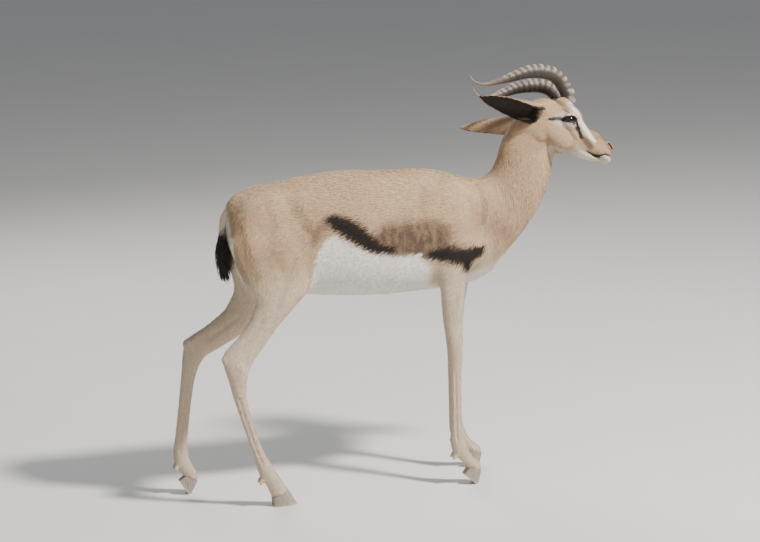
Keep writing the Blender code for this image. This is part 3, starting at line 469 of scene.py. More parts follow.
DEWCLAWS = {
    "fore_right": (0.1155, -0.004, 0.056),
    "fore_left": (0.1495, 0.0, 0.055),
    "hind_right": (-0.2570, -0.010, 0.049),
    "hind_left": (-0.3900, 0.010, 0.053),
}
TENDONS = {
    "hind_right": ((-0.243, 0.382), (-0.257, 0.348), (-0.279, 0.318), (-0.3085, 0.286)),
    "hind_left": ((-0.259, 0.378), (-0.280, 0.343), (-0.316, 0.315), (-0.3545, 0.290)),
}
STIFLES = {"hind_right": (-0.160, 0.420), "hind_left": (-0.180, 0.415)}
HOCKS = {
    "hind_right": ((-0.3115, -0.0685, 0.2790), (-0.2890, -0.0800, 0.2670), (-0.2800, -0.0690, 0.2560)),
    "hind_left": ((-0.3575, 0.0695, 0.2860), (-0.3430, 0.0805, 0.2700), (-0.3395, 0.0700, 0.2590)),
}
HOCK_RADII = ((0.0082, 0.0090, 0.0100), (0.0110, 0.0052, 0.0135), (0.0085, 0.0105, 0.0150))

# Where each hoof's toe stands, its sole's length and its tilt forwards in degrees
FEET = {
    "fore_right": ((0.1600, -0.0600, 0), 0.036, 42),
    "fore_left": ((0.1975, 0.0540, 0), 0.036, 42),
    "hind_right": ((-0.1905, -0.0700, 0), 0.045, 0),
    "hind_left": ((-0.3655, 0.0700, 0), 0.036, 58),
}
HOOF_FRONT = Vector((-0.0155, 0, 0.0285))
HOOF_SINK = -0.0042


def leg(bm, name):
    """A leg through its sections down to the top of its hoof, with its bony and sinewy forms."""
    y = LEG_Y[name]
    side = LEFT if y > 0 else RIGHT
    rows = [(one, two, half, y + aside) for one, two, half, aside in LEG_ROWS[name]]
    loft(bm, rows, sides=28, square=2.15)
    x, aside, z = DEWCLAWS[name]
    dewclaws(bm, Vector((x, y + aside, z)))
    coronet(bm, name)
    if name in KNEES:
        mass(bm, (KNEES[name], y, 0.270), (0.0080, 0.0125, 0.0180))
        mass(bm, (KNEES[name] - 0.008, y + side * 0.0105, 0.262), (0.0090, 0.0052, 0.0120))
    else:
        hock_tendon(bm, TENDONS[name], y + side * 0.004)
        haunch_forms(bm, side, STIFLES[name])
        for at, radii in zip(HOCKS[name], HOCK_RADII):
            mass(bm, at, radii, pitch=-20)


def hoof_heel(length):
    return Vector((-length - 0.0010, 0, 0.0165))


def hoof_place(foot):
    """From a hoof that stands flat with its toe at the origin to the foot's own place and tilt."""
    toe, _, tilt = FEET[foot]
    sink = HOOF_SINK if tilt else 0.0
    stand = Matrix.Translation(Vector(toe) + Vector((0, 0, sink)))
    return stand @ Matrix.Rotation(math.radians(tilt), 4, "Y")


def coronet(bm, foot):
    """The fringe of skin that lies over the top of the hoof."""
    heel = hoof_heel(FEET[foot][1])
    across = HOOF_FRONT - heel
    middle = hoof_place(foot) @ ((heel + HOOF_FRONT) / 2 + Vector((-0.0010, 0, 0.0030)))
    pitch = FEET[foot][2] - math.degrees(math.atan2(across.z, across.x))
    mass(bm, middle, (across.length / 2 + 0.0008, 0.0150, 0.0060), pitch=pitch)


def hock_tendon(bm, route, y):
    """The tendon that runs down to the point of the hock, and the heel bone under it."""
    points = [Vector((x, y, z)) for x, z in route]
    tube(bm, points, [0.008, 0.0062, 0.0062, 0.0085])


def dewclaws(bm, at):
    """The two small false hooves behind the fetlock."""
    for side in (RIGHT, LEFT):
        mass(bm, at + Vector((0, side * 0.0085, 0)), (0.0052, 0.0046, 0.0082), pitch=28)


def head_forms(bm):
    """Skull, cheeks, muzzle and jaw, in the head's own frame."""
    home = head_frame()
    rows = [
        ((-0.040, 0.000), (-0.034, -0.060), 0.020),
        ((-0.026, 0.022), (-0.018, -0.058), 0.028),
        ((-0.008, 0.038), (0.002, -0.050), 0.0325),
        ((0.012, 0.052), (0.022, -0.041), 0.0345),
        ((0.036, 0.0590), (0.044, -0.033), 0.0345),
        ((0.058, 0.0565), (0.062, -0.0265), 0.0300),
        ((0.078, 0.0480), (0.080, -0.0195), 0.0245),
        ((0.097, 0.0405), (0.098, -0.0130), 0.0208),
        ((0.114, 0.0395), (0.114, -0.0050), 0.0188),
        ((0.128, 0.0400), (0.127, 0.0015), 0.0182),
        ((0.141, 0.0390), (0.140, 0.0040), 0.0172),
        ((0.149, 0.0355), (0.149, 0.0040), 0.0148),
        ((0.1535, 0.0300), (0.1530, 0.0085), 0.0095),
    ]
    loft(bm, rows, sides=40, square=2.35, home=home)
    jaw = [
        ((0.060, 0.010), (0.062, -0.024), 0.0200),
        ((0.088, 0.006), (0.089, -0.0160), 0.0168),
        ((0.109, 0.002), (0.110, -0.0118), 0.0138),
        ((0.124, 0.001), (0.125, -0.0068), 0.0118),
        ((0.135, 0.002), (0.136, -0.0030), 0.0098),
        ((0.1405, 0.002), (0.1410, -0.0010), 0.0060),
    ]
    loft(bm, jaw, sides=28, home=home)
    mass(bm, (0.004, 0, 0.032), (0.034, 0.029, 0.0165), pitch=-20, home=home)
    mass(bm, (0.040, 0, 0.052), (0.036, 0.021, 0.012), pitch=2, home=home)
    mass(bm, (0.110, 0, 0.0350), (0.021, 0.0120, 0.0125), home=home)
    for side in (RIGHT, LEFT):
        head_side_forms(bm, side, home)


def head_side_forms(bm, side, home):
    x, y, z = EYE_AT
    y *= side
    mass(bm, (x - 0.001, y - side * 0.004, z), (0.0215, 0.0150, 0.0190), home=home)
    mass(bm, (x - 0.002, y + side * 0.0015, z + 0.0140), (0.0190, 0.0100, 0.0058), home=home)
    mass(bm, (x + 0.004, y - side * 0.0020, z - 0.0100), (0.0170, 0.0130, 0.0078), home=home)
    mass(bm, (0.040, side * 0.0225, -0.004), (0.040, 0.0125, 0.0225), pitch=14, home=home)
    mass(bm, (0.060, side * 0.0255, 0.0125), (0.030, 0.0075, 0.0060), pitch=12, yaw=-side * 14, home=home)
    mass(bm, (0.014, side * 0.0195, -0.020), (0.022, 0.0110, 0.0200), home=home)
    mass(bm, (-0.004, side * 0.0275, 0.0140), (0.0160, 0.0110, 0.0165), home=home)
    mass(bm, (0.0265, side * 0.0185, 0.0520), (0.0175, 0.0150, 0.0130), pitch=-20, home=home)
    mass(bm, (0.1410, side * 0.0110, 0.0325), (0.0125, 0.0078, 0.0075), pitch=20, home=home)
    mass(bm, (0.1490, side * 0.0075, 0.0105), (0.0105, 0.0085, 0.0070), pitch=-6, home=home)
    eyelids(bm, side, home)


def lid_spot(share, lift, proud):
    """A place on the eyeball, from the front corner to the rear one, `lift` from its middle line."""
    along = LID_HALF * (1 - 2 * share)
    rise = lift * math.sin(math.pi * share) ** 0.8 + LID_RISE * (1 - 2 * share) - LID_DROP
    reach = math.sqrt(max(0.0, EYE_RADIUS**2 - along**2 - rise**2))
    return Vector((along, reach + proud, rise))


def eyelids(bm, side, home):
    """The lids: rows of flesh over the eyeball, of which the first is the rim of its opening."""
    for edge in LID_EDGES:
        for row in range(5):
            lift = edge + math.copysign(LID_ROW * row, edge)
            proud = 0.0004 if row else 0.0002
            shares = [k / 14 for k in range(15)]
            spots = [lid_spot(share, lift, proud) for share in shares]
            points = [(EYE_AT + spot) * Vector((1, side, 1)) for spot in spots]
            radii = [0.0015 + (0.0008 if row else 0.0005) * math.sin(math.pi * share) for share in shares]
            tube(bm, points, radii, sides=10, home=home)


def ear_axis(side):
    """An ear's root, its unit direction, its length and the unit direction that its cup opens to."""
    root = EAR_AT * Vector((1, side, 1))
    along = EAR_TIP[side] - root
    length = along.length
    along.normalize()
    open_to = EAR_OPEN[side] - along * along.dot(EAR_OPEN[side])
    return root, along, length, open_to.normalized()


def ear_form(bm, side, home):
    """A long leaf-shaped ear: a cup that opens outwards and down, closing to a tube at its root."""
    root, along, length, open_to = ear_axis(side)
    across = along.cross(open_to) * side
    lengths, widths = 49, 25
    outer, inner = [], []
    for i in range(lengths):
        share = i / (lengths - 1)
        leaf = math.sin(math.pi * min(1.0, 0.15 + 0.86 * share**0.9)) ** 0.62
        half = EAR_WIDTH / 2 * max(0.13, leaf)
        curl = math.radians(115 - 58 * smoothstep(0.0, 0.7, share))
        radius = half / math.sin(min(curl, math.pi / 2))
        thick = 0.0032 * (1 - 0.35 * share)
        bow = 0.009 * math.sin(math.pi * share)
        middle = root + along * (length * share) + open_to * (radius * 0.45 + bow)
        rows = []
        for reach in (radius, max(radius - thick, 0.25 * radius)):
            row = []
            for j in range(widths):
                turn = curl * (2 * j / (widths - 1) - 1)
                spoke = across * math.sin(turn) - open_to * math.cos(turn)
                row.append(bm.verts.new(middle + spoke * reach))
            rows.append(row)
        outer.append(rows[0])
        inner.append(rows[1])
    for i in range(lengths - 1):
        for j in range(widths - 1):
            for skin in (outer, inner):
                bm.faces.new((skin[i][j], skin[i][j + 1], skin[i + 1][j + 1], skin[i + 1][j]))
        for j in (0, widths - 1):
            bm.faces.new((outer[i][j], outer[i + 1][j], inner[i + 1][j], inner[i][j]))
    for i in (0, lengths - 1):
        for j in range(widths - 1):
            bm.faces.new((outer[i][j], outer[i][j + 1], inner[i][j + 1], inner[i][j]))
    made = [vert for row in outer + inner for vert in row]
    bmesh.ops.transform(bm, matrix=home, verts=made)


# The skin

# Creases between muscles, pressed in and painted with shade: each a route of (x, z, half width) and its
# depth
CREASES = (
    (((0.172, 0.592, 0.010), (0.186, 0.562, 0.012), (0.190, 0.528, 0.012), (0.184, 0.494, 0.010)), 0.0030),
    (((0.078, 0.560, 0.012), (0.066, 0.520, 0.014), (0.062, 0.480, 0.012)), 0.0016),
    (
        ((-0.218, 0.562, 0.012), (-0.212, 0.520, 0.015), (-0.212, 0.474, 0.015), (-0.200, 0.438, 0.010)),
        0.0014,
    ),
    (((-0.178, 0.556, 0.014), (-0.162, 0.532, 0.018), (-0.146, 0.500, 0.013)), 0.0022),
    (((-0.272, 0.516, 0.009), (-0.268, 0.470, 0.013), (-0.252, 0.430, 0.011)), 0.0012),
    (((-0.176, 0.452, 0.008), (-0.196, 0.408, 0.009), (-0.214, 0.372, 0.008)), 0.0018),
    (((0.150, 0.420, 0.008), (0.132, 0.392, 0.007), (0.124, 0.350, 0.006)), 0.0012),
)
MOUTH = (
    (0.110, 0.0000, 0.0012), (0.1262, 0.0033, 0.0019), (0.1350, 0.0070, 0.0023),
    (0.1416, 0.0140, 0.0015), (0.1560, 0.0192, 0.0013),
)
CHIN_NOTCH = ((0.1360, 0.0060, 0.0021), (0.1440, -0.0015, 0.0016))
NOSTRIL = ((0.1370, 0.0354, 0.0013), (0.1435, 0.0328, 0.0021), (0.1490, 0.0298, 0.0015))
NECK_FOLDS = ((0.205, 0.560, 0.012), (0.235, 0.520, 0.030), (0.225, 0.470, 0.026))


def carve_head(mesh):
    """Presses the nostrils, the mouth's line and the tear slit into the head, and folds the nose."""
    points = points_of(mesh)
    local = in_head(points)
    x, y, z = local.T
    aside = np.abs(y)
    side = np.sign(y)
    moved = np.zeros_like(local)
    inward = side * np.clip(aside / 0.006, 0, 1)
    moved[:, 1] -= MOUTH_DEPTH * inward * fall(band(x, z, MOUTH) / 1.7)
    moved[:, 1] -= CHIN_NOTCH_DEPTH * inward * fall(band(x, z, CHIN_NOTCH) / 1.6)
    moved[:, 0] -= LIP_CLEFT_DEPTH * fall(np.abs(z - 0.0180) / 0.0026) * smoothstep(0.148, 0.152, x)
    cleft = np.exp(-((aside / 0.0012) ** 2)) * smoothstep(0.148, 0.151, x) * (z < 0.030)
    moved[:, 0] -= LIP_CLEFT_DEPTH * cleft
    moved[:, 1] -= NOSTRIL_DEPTH * inward * fall(band(x, z, NOSTRIL) / 1.5)
    wing = np.hypot((x - 0.1430) / 0.0125, (z - 0.0330 + 0.45 * (x - 0.1430)) / 0.0062)
    moved[:, 1] += NOSTRIL_WING * inward * fall(wing)
    tear = np.hypot((x - 0.0690) / 0.0085, (z - 0.0200 + 0.55 * (x - 0.0690)) / 0.0024)
    moved[:, 1] -= side * TEAR_SLIT_DEPTH * fall(tear) * (aside > 0.012)
    folds = 0.5 + 0.5 * np.cos(2 * np.pi * (x - 0.108) / NOSE_FOLD_GAP)
    over = fall(np.abs(x - 0.112) / 0.022) * np.clip((z - 0.028) / 0.010, 0, 1)
    moved[:, 2] += NOSE_FOLD_RISE * folds * over
    set_points(mesh, points + moved @ HEAD[:3, :3].T)


def between(rows, share, half, low, high):
    """A route of (x, z, half width) down a leg, `share` of the way from its rear edge to its front."""
    return [
        (x0 + (x1 - x0) * share, z0 + (z1 - z0) * share, half)
        for (x0, z0), (x1, z1), *_ in rows
        if low < z0 < high
    ]


def leg_creases(x, y, z):
    """The groove between bone and tendon down each leg, and the hollow before each hock's tendon."""
    depth = np.zeros(len(x))
    for name, rows in LEG_ROWS.items():
        mine = y * LEG_Y[name] > 0
        groove = between(rows, 0.40, 0.0036, 0.085, 0.235)
        depth = np.maximum(depth, LEG_GROOVE_DEPTH * fall(band(x, z, groove)) * mine)
        if name in TENDONS:
            hollow = between(rows, 0.33, 0.0085, 0.295, 0.360)
            depth = np.maximum(depth, TENDON_HOLLOW_DEPTH * fall(band(x, z, hollow)) * mine)
    return depth


def carve_body(mesh):
    """Presses the creases between the muscles into the neck, shoulder, flank, thigh and legs."""
    points, normals = points_of(mesh), normals_of(mesh)
    x, y, z = points.T
    depth = leg_creases(x, y, z)
    for route, deep in CREASES:
        depth = np.maximum(depth, deep * fall(band(x, z, route)))
    facing = smoothstep(0.15, 0.5, np.abs(normals[:, 1])) * (np.abs(y) > 0.015)
    wrinkles = np.sin(2 * np.pi * (x + 0.55 * z + 0.010 * np.sin(z * 40)) / NECK_FOLD_GAP)
    depth += NECK_FOLD_DEPTH * (1 + wrinkles) * on(band(x, z, NECK_FOLDS), 0.5)
    set_points(mesh, points - normals * (depth * facing)[:, None])


def fused(fill, voxel, rounds, share):
    """The forms that `fill` makes, fused into one closed skin and evened out."""
    bm = bmesh.new()
    fill(bm)
    bmesh.ops.recalc_face_normals(bm, faces=bm.faces)
    made = new_object("fused", mesh_of("fused", bm))
    remesh = made.modifiers.new("fuse", "REMESH")
    remesh.mode = "VOXEL"
    remesh.voxel_size = voxel
    applied(made)
    smoothed(made.data, rounds, share(points_of(made.data)))
    return made


def body_filling(bm):
    torso_forms(bm)
    neck_forms(bm)
    for side in (RIGHT, LEFT):
        shoulder_forms(bm, side)
    for name in LEG_ROWS:
        leg(bm, name)
    head_forms(bm)


def head_filling(bm):
    neck_forms(bm)
    head_forms(bm)
    for side in (RIGHT, LEFT):
        ear_form(bm, side, head_frame())


def body_share(points):
    """How much the body is evened: fully on the trunk, little on the slender legs."""
    return 0.13 + 0.87 * smoothstep(0.30, 0.42, points[:, 2])


def head_share(points):
    """Less on the ears, the lids and the muzzle, whose edges are to stay."""
    x, y, z = in_head(points).T
    ears = smoothstep(0.034, 0.044, np.abs(y)) * smoothstep(0.005, -0.015, x)
    eyes = fall(np.hypot(x - EYE_AT.x, z - EYE_AT.z) / 0.024) * (np.abs(y) > 0.02)
    muzzle = smoothstep(0.115, 0.135, x)
    return np.clip(1 - 0.7 * ears - 0.65 * eyes - 0.4 * muzzle, 0.2, 1)


def cut_at_neck(obj, lift, keep_above):
    """Cuts away one side of the plane where the skin's two halves meet."""
    point, normal = NECK_JOIN
    bm = bmesh.new()
    bm.from_mesh(obj.data)
    plane = {"plane_co": point + normal * lift, "plane_no": normal}
    geom = [*bm.verts, *bm.edges, *bm.faces]
    bmesh.ops.bisect_plane(bm, geom=geom, **plane, clear_inner=keep_above, clear_outer=not keep_above)
    bm.to_mesh(obj.data)
    bm.free()


def joined(body, head):
    """One closed skin from the coarser body and the finer head, bridged round the neck."""
    bm = bmesh.new()
    bm.from_mesh(body.data)
    bm.from_mesh(head.data)
    open_edges = [edge for edge in bm.edges if edge.is_boundary]
    bmesh.ops.bridge_loops(bm, edges=open_edges)
    bmesh.ops.recalc_face_normals(bm, faces=bm.faces)
    bpy.data.objects.remove(body)
    bpy.data.objects.remove(head)
    return new_object("skin", mesh_of("skin", bm))


def ear_fields(points, normals):
    """For each point how far it is on an ear, how far along it, and how much it faces into the cup."""
    local = in_head(points)
    facing = normals @ HEAD[:3, :3]
    share, ahead, inside = (np.zeros(len(points)) for _ in range(3))
    for side in (RIGHT, LEFT):
        root, along, length, open_to = ear_axis(side)
        bm = bmesh.new()
        ear_form(bm, side, Matrix())
        tree = BVHTree.FromBMesh(bm)
        bm.free()
        away = local - np.array(root)
        reach = away @ np.array(along) / length
        beside = np.array(along.cross(open_to) * side)
        for index in np.where((reach > 0.02) & (local[:, 1] * side > 0.02))[0]:
            off = away[index] @ beside / (EAR_WIDTH / 2)
            in_cup = -0.006 < away[index] @ np.array(open_to) < 0.022
            at_root = reach[index] < 0.25 and abs(off) < 0.7 and in_cup
            if at_root or tree.find_nearest(Vector(local[index]), 0.004)[0] is not None:
                share[index] = smoothstep(0.04, 0.14, reach[index])
                ahead[index] = reach[index]
                inside[index] = facing[index] @ np.array(open_to)
    return share, ahead, inside


def coat_depth(points, ears):
    """How far the skin lies under the outline: the coat's depth there."""
    head = on_head(points)
    legs = smoothstep(0.42, 0.34, points[:, 2])
    depth = TRUNK_DEPTH + (LEG_DEPTH - TRUNK_DEPTH) * legs
    depth = depth + (FACE_DEPTH - depth) * head
    return depth + (EAR_DEPTH - depth) * np.clip(ears * 4, 0, 1)


def eye_centre(side):
    return head_frame() @ (EYE_AT * Vector((1, side, 1)))


def make_skin():
    body = fused(body_filling, BODY_VOXEL, BODY_ROUNDS, body_share)
    head = fused(head_filling, HEAD_VOXEL, HEAD_ROUNDS, head_share)
    carve_head(head.data)
    carve_body(body.data)
    cut_at_neck(body, 0.0, keep_above=False)
    cut_at_neck(head, HEAD_VOXEL, keep_above=True)
    skin = joined(body, head)
    points, normals = points_of(skin.data), normals_of(skin.data)
    ears = ear_fields(points, normals)[0]
    set_points(skin.data, points - normals * coat_depth(points, ears)[:, None])
    for side in (RIGHT, LEFT):
        bm = bmesh.new()
        place = Matrix.Translation(eye_centre(side))
        radius = EYE_RADIUS + 0.0001
        bmesh.ops.create_uvsphere(bm, u_segments=64, v_segments=40, radius=radius, matrix=place)
        socket = new_object("socket", mesh_of("socket", bm))
        cut = skin.modifiers.new("socket", "BOOLEAN")
        cut.operation = "DIFFERENCE"
        cut.solver = "MANIFOLD"
        cut.object = socket
        applied(skin)
        bpy.data.objects.remove(socket)
    skin.data.shade_smooth()
    return skin


# Markings and painted shade, as fields over the skin


def band(x, z, route):
    """Distance from a route of (x, z, half width), in half widths."""
    nearest = np.full(len(x), 1e9)
    for (x0, z0, half0), (x1, z1, half1) in zip(route, route[1:]):
        dx, dz = x1 - x0, z1 - z0
        t = np.clip(((x - x0) * dx + (z - z0) * dz) / (dx * dx + dz * dz), 0, 1)
        away = np.hypot(x - x0 - dx * t, z - z0 - dz * t)
        nearest = np.minimum(nearest, away / (half0 + (half1 - half0) * t))
    return nearest


def on(distance, soft=0.35):
    """1 within a band, 0 outside it, over a soft edge."""
    return 1 - smoothstep(1 - soft, 1 + soft, distance)


# Where the white of the belly ends, as (x, z), and the routes of the stripes, as (x, z, half width)
BELLY_LINE = (
    (-0.150, 0.380), (-0.134, 0.455), (-0.118, 0.484), (-0.100, 0.493), (-0.078, 0.482),
    (-0.037, 0.459), (0.006, 0.449), (0.060, 0.447), (0.085, 0.420), (0.130, 0.398),
    (0.200, 0.398), (0.235, 0.430),
)
# The second and third stripes, behind the elbow, are the stripe's end and painted shade of the elbow
# together
STRIPES = (
    ((-0.099, 0.520, 0.010), (-0.088, 0.5150, 0.0150), (-0.0730, 0.5060, 0.0165), (-0.056, 0.4945, 0.0165),
     (-0.038, 0.4770, 0.0155), (-0.0225, 0.4660, 0.0110), (0.008, 0.4620, 0.0045)),
    ((0.084, 0.4450, 0.0070), (0.110, 0.4440, 0.0125), (0.145, 0.4380, 0.0165), (0.178, 0.4460, 0.0095)),
    ((0.150, 0.434, 0.014), (0.152, 0.419, 0.010)),
)
STRIPE_TONGUE = ((-0.108, 0.520, 0.009), (-0.126, 0.502, 0.009), (-0.135, 0.484, 0.006))
ELBOW_TONGUE = ((0.120, 0.482, 0.005), (0.122, 0.456, 0.012))

# Painted shade on the haunch, flank, chest and neck, and a painted shadow of the ear on the nape: middle,
# half width, half height, strength
SHADES = (
    (-0.2290, 0.5490, 0.030, 0.018, 0.22), (-0.1640, 0.5370, 0.026, 0.024, 0.34),
    (-0.1440, 0.5080, 0.020, 0.024, 0.34), (-0.2140, 0.4680, 0.015, 0.034, 0.26),
    (-0.2760, 0.4850, 0.014, 0.040, 0.26), (-0.2620, 0.4400, 0.030, 0.034, 0.34),
    (0.2600, 0.5600, 0.055, 0.085, 0.24), (0.2250, 0.4700, 0.042, 0.052, 0.32),
    (0.2480, 0.6350, 0.034, 0.050, 0.22),
)
RUMP_EDGE = ((-0.262, 0.560, 0.006), (-0.270, 0.520, 0.009), (-0.268, 0.470, 0.011), (-0.250, 0.430, 0.012))
FACE_STRIPE = (
    (0.036, 0.0525, 0.0042), (0.054, 0.0505, 0.0054), (0.072, 0.0405, 0.0056), (0.089, 0.0325, 0.0054),
    (0.101, 0.0268, 0.0046), (0.113, 0.0240, 0.0028),
)
TEAR_STRIPE = ((0.0605, 0.0325, 0.0024), (0.0700, 0.0270, 0.0036), (0.0865, 0.0150, 0.0040))
TEAR_PATCH = ((0.0870, 0.0160, 0.0040), (0.1000, 0.0138, 0.0062), (0.1120, 0.0105, 0.0056))
EYE_LINE = ((0.038, 0.0205, 0.0036), (0.0235, 0.0098, 0.0034), (0.0160, 0.0046, 0.0014))


def body_white(x, aside, z):
    """Belly, inner sides of the legs and rump."""
    line_x, line_z = np.array(BELLY_LINE).T
    under = np.interp(x, line_x, line_z) - z
    trunk = (x > -0.155) & (x < 0.240)
    belly = smoothstep(-0.007, 0.006, under) * trunk * smoothstep(0.355, 0.365, z)
    belly = belly * (1 - smoothstep(0.036, 0.046, aside) * smoothstep(0.078, 0.092, x))
    # The white inside the hind legs is held to 0.7: painted shade between the legs
    inner_hind = 0.7 * smoothstep(0.044, 0.030, aside) * smoothstep(-0.125, -0.150, x)
    inner_hind = inner_hind * smoothstep(0.48, 0.42, z) * smoothstep(0.10, 0.24, z)
    inner_fore = smoothstep(0.052, 0.040, aside) * (x > 0.07) * smoothstep(0.42, 0.39, z)
    inner_fore = inner_fore * smoothstep(0.20, 0.30, z)
    edge = -0.2835 - 0.0040 * smoothstep(0.47, 0.42, z)
    rump = smoothstep(0.002, -0.005, x - edge) * smoothstep(0.41, 0.44, z) * smoothstep(0.580, 0.560, z)
    return belly, np.maximum.reduce([belly, inner_hind, inner_fore, rump])


def body_dark(x, aside, z, belly):
    """The black stripes and the brown of the band between them, whose ends behind the elbow are partly
    painted shade, with painted shade on the haunch, flank, chest and neck and in the creases.
    """
    dark = np.maximum.reduce([on(band(x, z, route), 0.95) for route in STRIPES]) * (aside > 0.02)
    dark = dark * (1 - 0.8 * belly)
    top = 0.511 - 0.020 * smoothstep(0.09, 0.14, x) - 0.022 * smoothstep(0.0, -0.03, x)
    brown_and_shade = smoothstep(-0.046, -0.020, x) * smoothstep(0.148, 0.112, x) * (z > 0.44)
    brown_and_shade = brown_and_shade * (0.90 * smoothstep(-0.012, 0.016, top - z) + 0.10 * smoothstep(0.02, 0.05, top - z))
    brown_and_shade = brown_and_shade * (1 - belly)
    # The tongue above the elbow is partly stripe and partly painted shade of the elbow
    for most, route in ((0.62, STRIPE_TONGUE), (0.75, ELBOW_TONGUE)):
        brown_and_shade = np.maximum(brown_and_shade, most * on(band(x, z, route), 0.8))
    # Painted shade on the haunch, flank, chest and neck, and a painted shadow on the nape
    for middle_x, middle_z, half, tall, most in SHADES:
        shade = most * fall(np.hypot((x - middle_x) / half, (z - middle_z) / tall))
        brown_and_shade = np.maximum(brown_and_shade, shade * (1 - belly))
    brown_and_shade = np.maximum(brown_and_shade, 0.22 * on(band(x, z, RUMP_EDGE), 0.8))
    # Painted shade in the creases
    creases = np.maximum.reduce([fall(band(x, z, route) / 1.5) for route, _ in CREASES])
    brown_and_shade = np.maximum(brown_and_shade, 0.12 * creases * (1 - belly))
    return dark, brown_and_shade * (aside > 0.015)


def face_marks(x, lateral, z):
    """White, dark, brown and bare places of the face, in the head's own frame."""
    stripe = 0.92 * on(band(x, z, FACE_STRIPE), 0.55) * smoothstep(0.0075, 0.0105, lateral)
    tear = on(band(x, z, TEAR_STRIPE)) * smoothstep(0.010, 0.014, lateral)
    patch = 0.95 * on(band(x, z, TEAR_PATCH), 0.6) * smoothstep(0.008, 0.013, lateral)
    eye_line = 0.90 * on(band(x, z, EYE_LINE), 0.8) * smoothstep(0.020, 0.024, lateral)
    ahead_of_eye = x - EYE_AT.x
    over_eye = z - EYE_AT.z + LID_DROP - LID_RISE / LID_HALF * ahead_of_eye
    rim = on(np.hypot(ahead_of_eye / 0.0142, over_eye / 0.0084), 0.10) * (lateral > 0.024)
    orbit = on(np.hypot(ahead_of_eye / 0.0230, over_eye / 0.0160), 0.30)
    orbit = 0.50 * orbit * (1 - rim) * (lateral > 0.018)
    blaze = smoothstep(0.0120, 0.0085, lateral) * smoothstep(0.026, 0.034, z) * smoothstep(0.020, 0.034, x)
    nose_patch = fall(np.hypot((x - 0.118) / 0.024, lateral / 0.014)) * smoothstep(0.030, 0.038, z)
    nose_shade = 0.55 * fall(np.hypot((x - 0.120) / 0.030, (z - 0.037) / 0.021))
    pad = smoothstep(0.1485, 0.1515, x) * smoothstep(0.0190, 0.0215, z)
    pad = pad * smoothstep(0.0085, 0.0065, lateral)
    openings = np.maximum.reduce([on(band(x, z, route), 0.25) for route in (MOUTH, CHIN_NOTCH, NOSTRIL)])
    openings = openings * smoothstep(0.003, 0.005, lateral)
    chin = 0.8 * smoothstep(0.004, -0.008, z) * smoothstep(0.070, 0.115, x)
    lip = 0.5 * smoothstep(0.130, 0.140, x) * smoothstep(0.018, 0.012, z)
    throat = 0.5 * smoothstep(0.018, 0.008, lateral) * smoothstep(-0.010, -0.030, z) * (x > 0.02)
    lines = np.maximum(tear, eye_line)
    white = np.maximum.reduce([stripe, chin, lip, throat, orbit])
    dark = np.maximum.reduce([lines, nose_patch * 0.55, patch * 0.30])
    brown_and_shade = np.maximum.reduce([blaze * 0.5, patch, nose_shade])
    return lines, white, dark, brown_and_shade, np.maximum.reduce([rim, pad, openings])


def markings(points, ears):
    """Shares of each colour over the skin, painted shade among them, 0 to 1, alike on both sides of the
    animal.
    """
    x, y, z = points.T
    aside = np.abs(y)
    share, ahead, inside = ears
    lx, ly, lz = in_head(points).T
    head = on_head(points) * (1 - share)
    belly, white = body_white(x, aside, z)
    dark, brown_and_shade = body_dark(x, aside, z, belly)
    lines, face_white, face_dark, face_brown, bare = face_marks(lx, np.abs(ly), lz)
    return {
        "white": np.maximum(white * (1 - head), face_white * head) * (1 - lines * head),
        "dark": np.maximum(dark * (1 - head), face_dark * head),
        "brown_and_shade": np.maximum(brown_and_shade * (1 - head), face_brown * head),
        "bare": bare * head,
        # Painted shade inside the ears' cups
        "shaded_cup": smoothstep(-0.05, 0.25, inside) * smoothstep(0.015, 0.045, ahead),
        # Paler legs: partly their own paler hair, partly painted light
        "legs": smoothstep(0.47, 0.38, z),
    }


def up_the_neck(x, z):
    """How far a place is beyond the root of the neck."""
    return (x - 0.215) * 0.885 + (z - 0.518) * 0.465


def lie_of_coat(points, normals, ears):
    """The way that the hairs point along the skin."""
    x, y, z = points.T
    count = len(points)
    share = ears[0]

    def rows(a, b, c):
        return np.stack([np.broadcast_to(v, count).astype(float) for v in (a, b, c)], 1)

    def mixed(one, two, weight):
        return one + (two - one) * weight[:, None]

    low = smoothstep(0.52, 0.40, z)
    flow = rows(-1.0, 0.0, -0.22 - 0.9 * low)
    flow = mixed(flow, rows(-0.35, 0.0, -1.0), smoothstep(-0.19, -0.27, x))
    flow = mixed(flow, rows(-0.45, 0.0, -0.9), smoothstep(0.12, 0.20, x))
    flow = mixed(flow, rows(-0.28, 0.0, -0.96), smoothstep(0.0, 0.05, up_the_neck(x, z)))
    flow = mixed(flow, rows(-0.10, 0.0, -1.0), smoothstep(0.40, 0.33, z))
    local = in_head(points)
    back = rows(-1.0, 0.0, -0.10 - 0.5 * smoothstep(0.03, -0.02, local[:, 2])) @ HEAD[:3, :3].T
    flow = mixed(flow, back, on_head(points))
    for side in (RIGHT, LEFT):
        along = np.array(ear_axis(side)[1]) @ HEAD[:3, :3].T
        flow = mixed(flow, rows(*along), share * (y * side > 0))
    flow -= normals * np.sum(flow * normals, 1)[:, None]
    return unit(flow)


# Hairs, as thin closed tapering locks


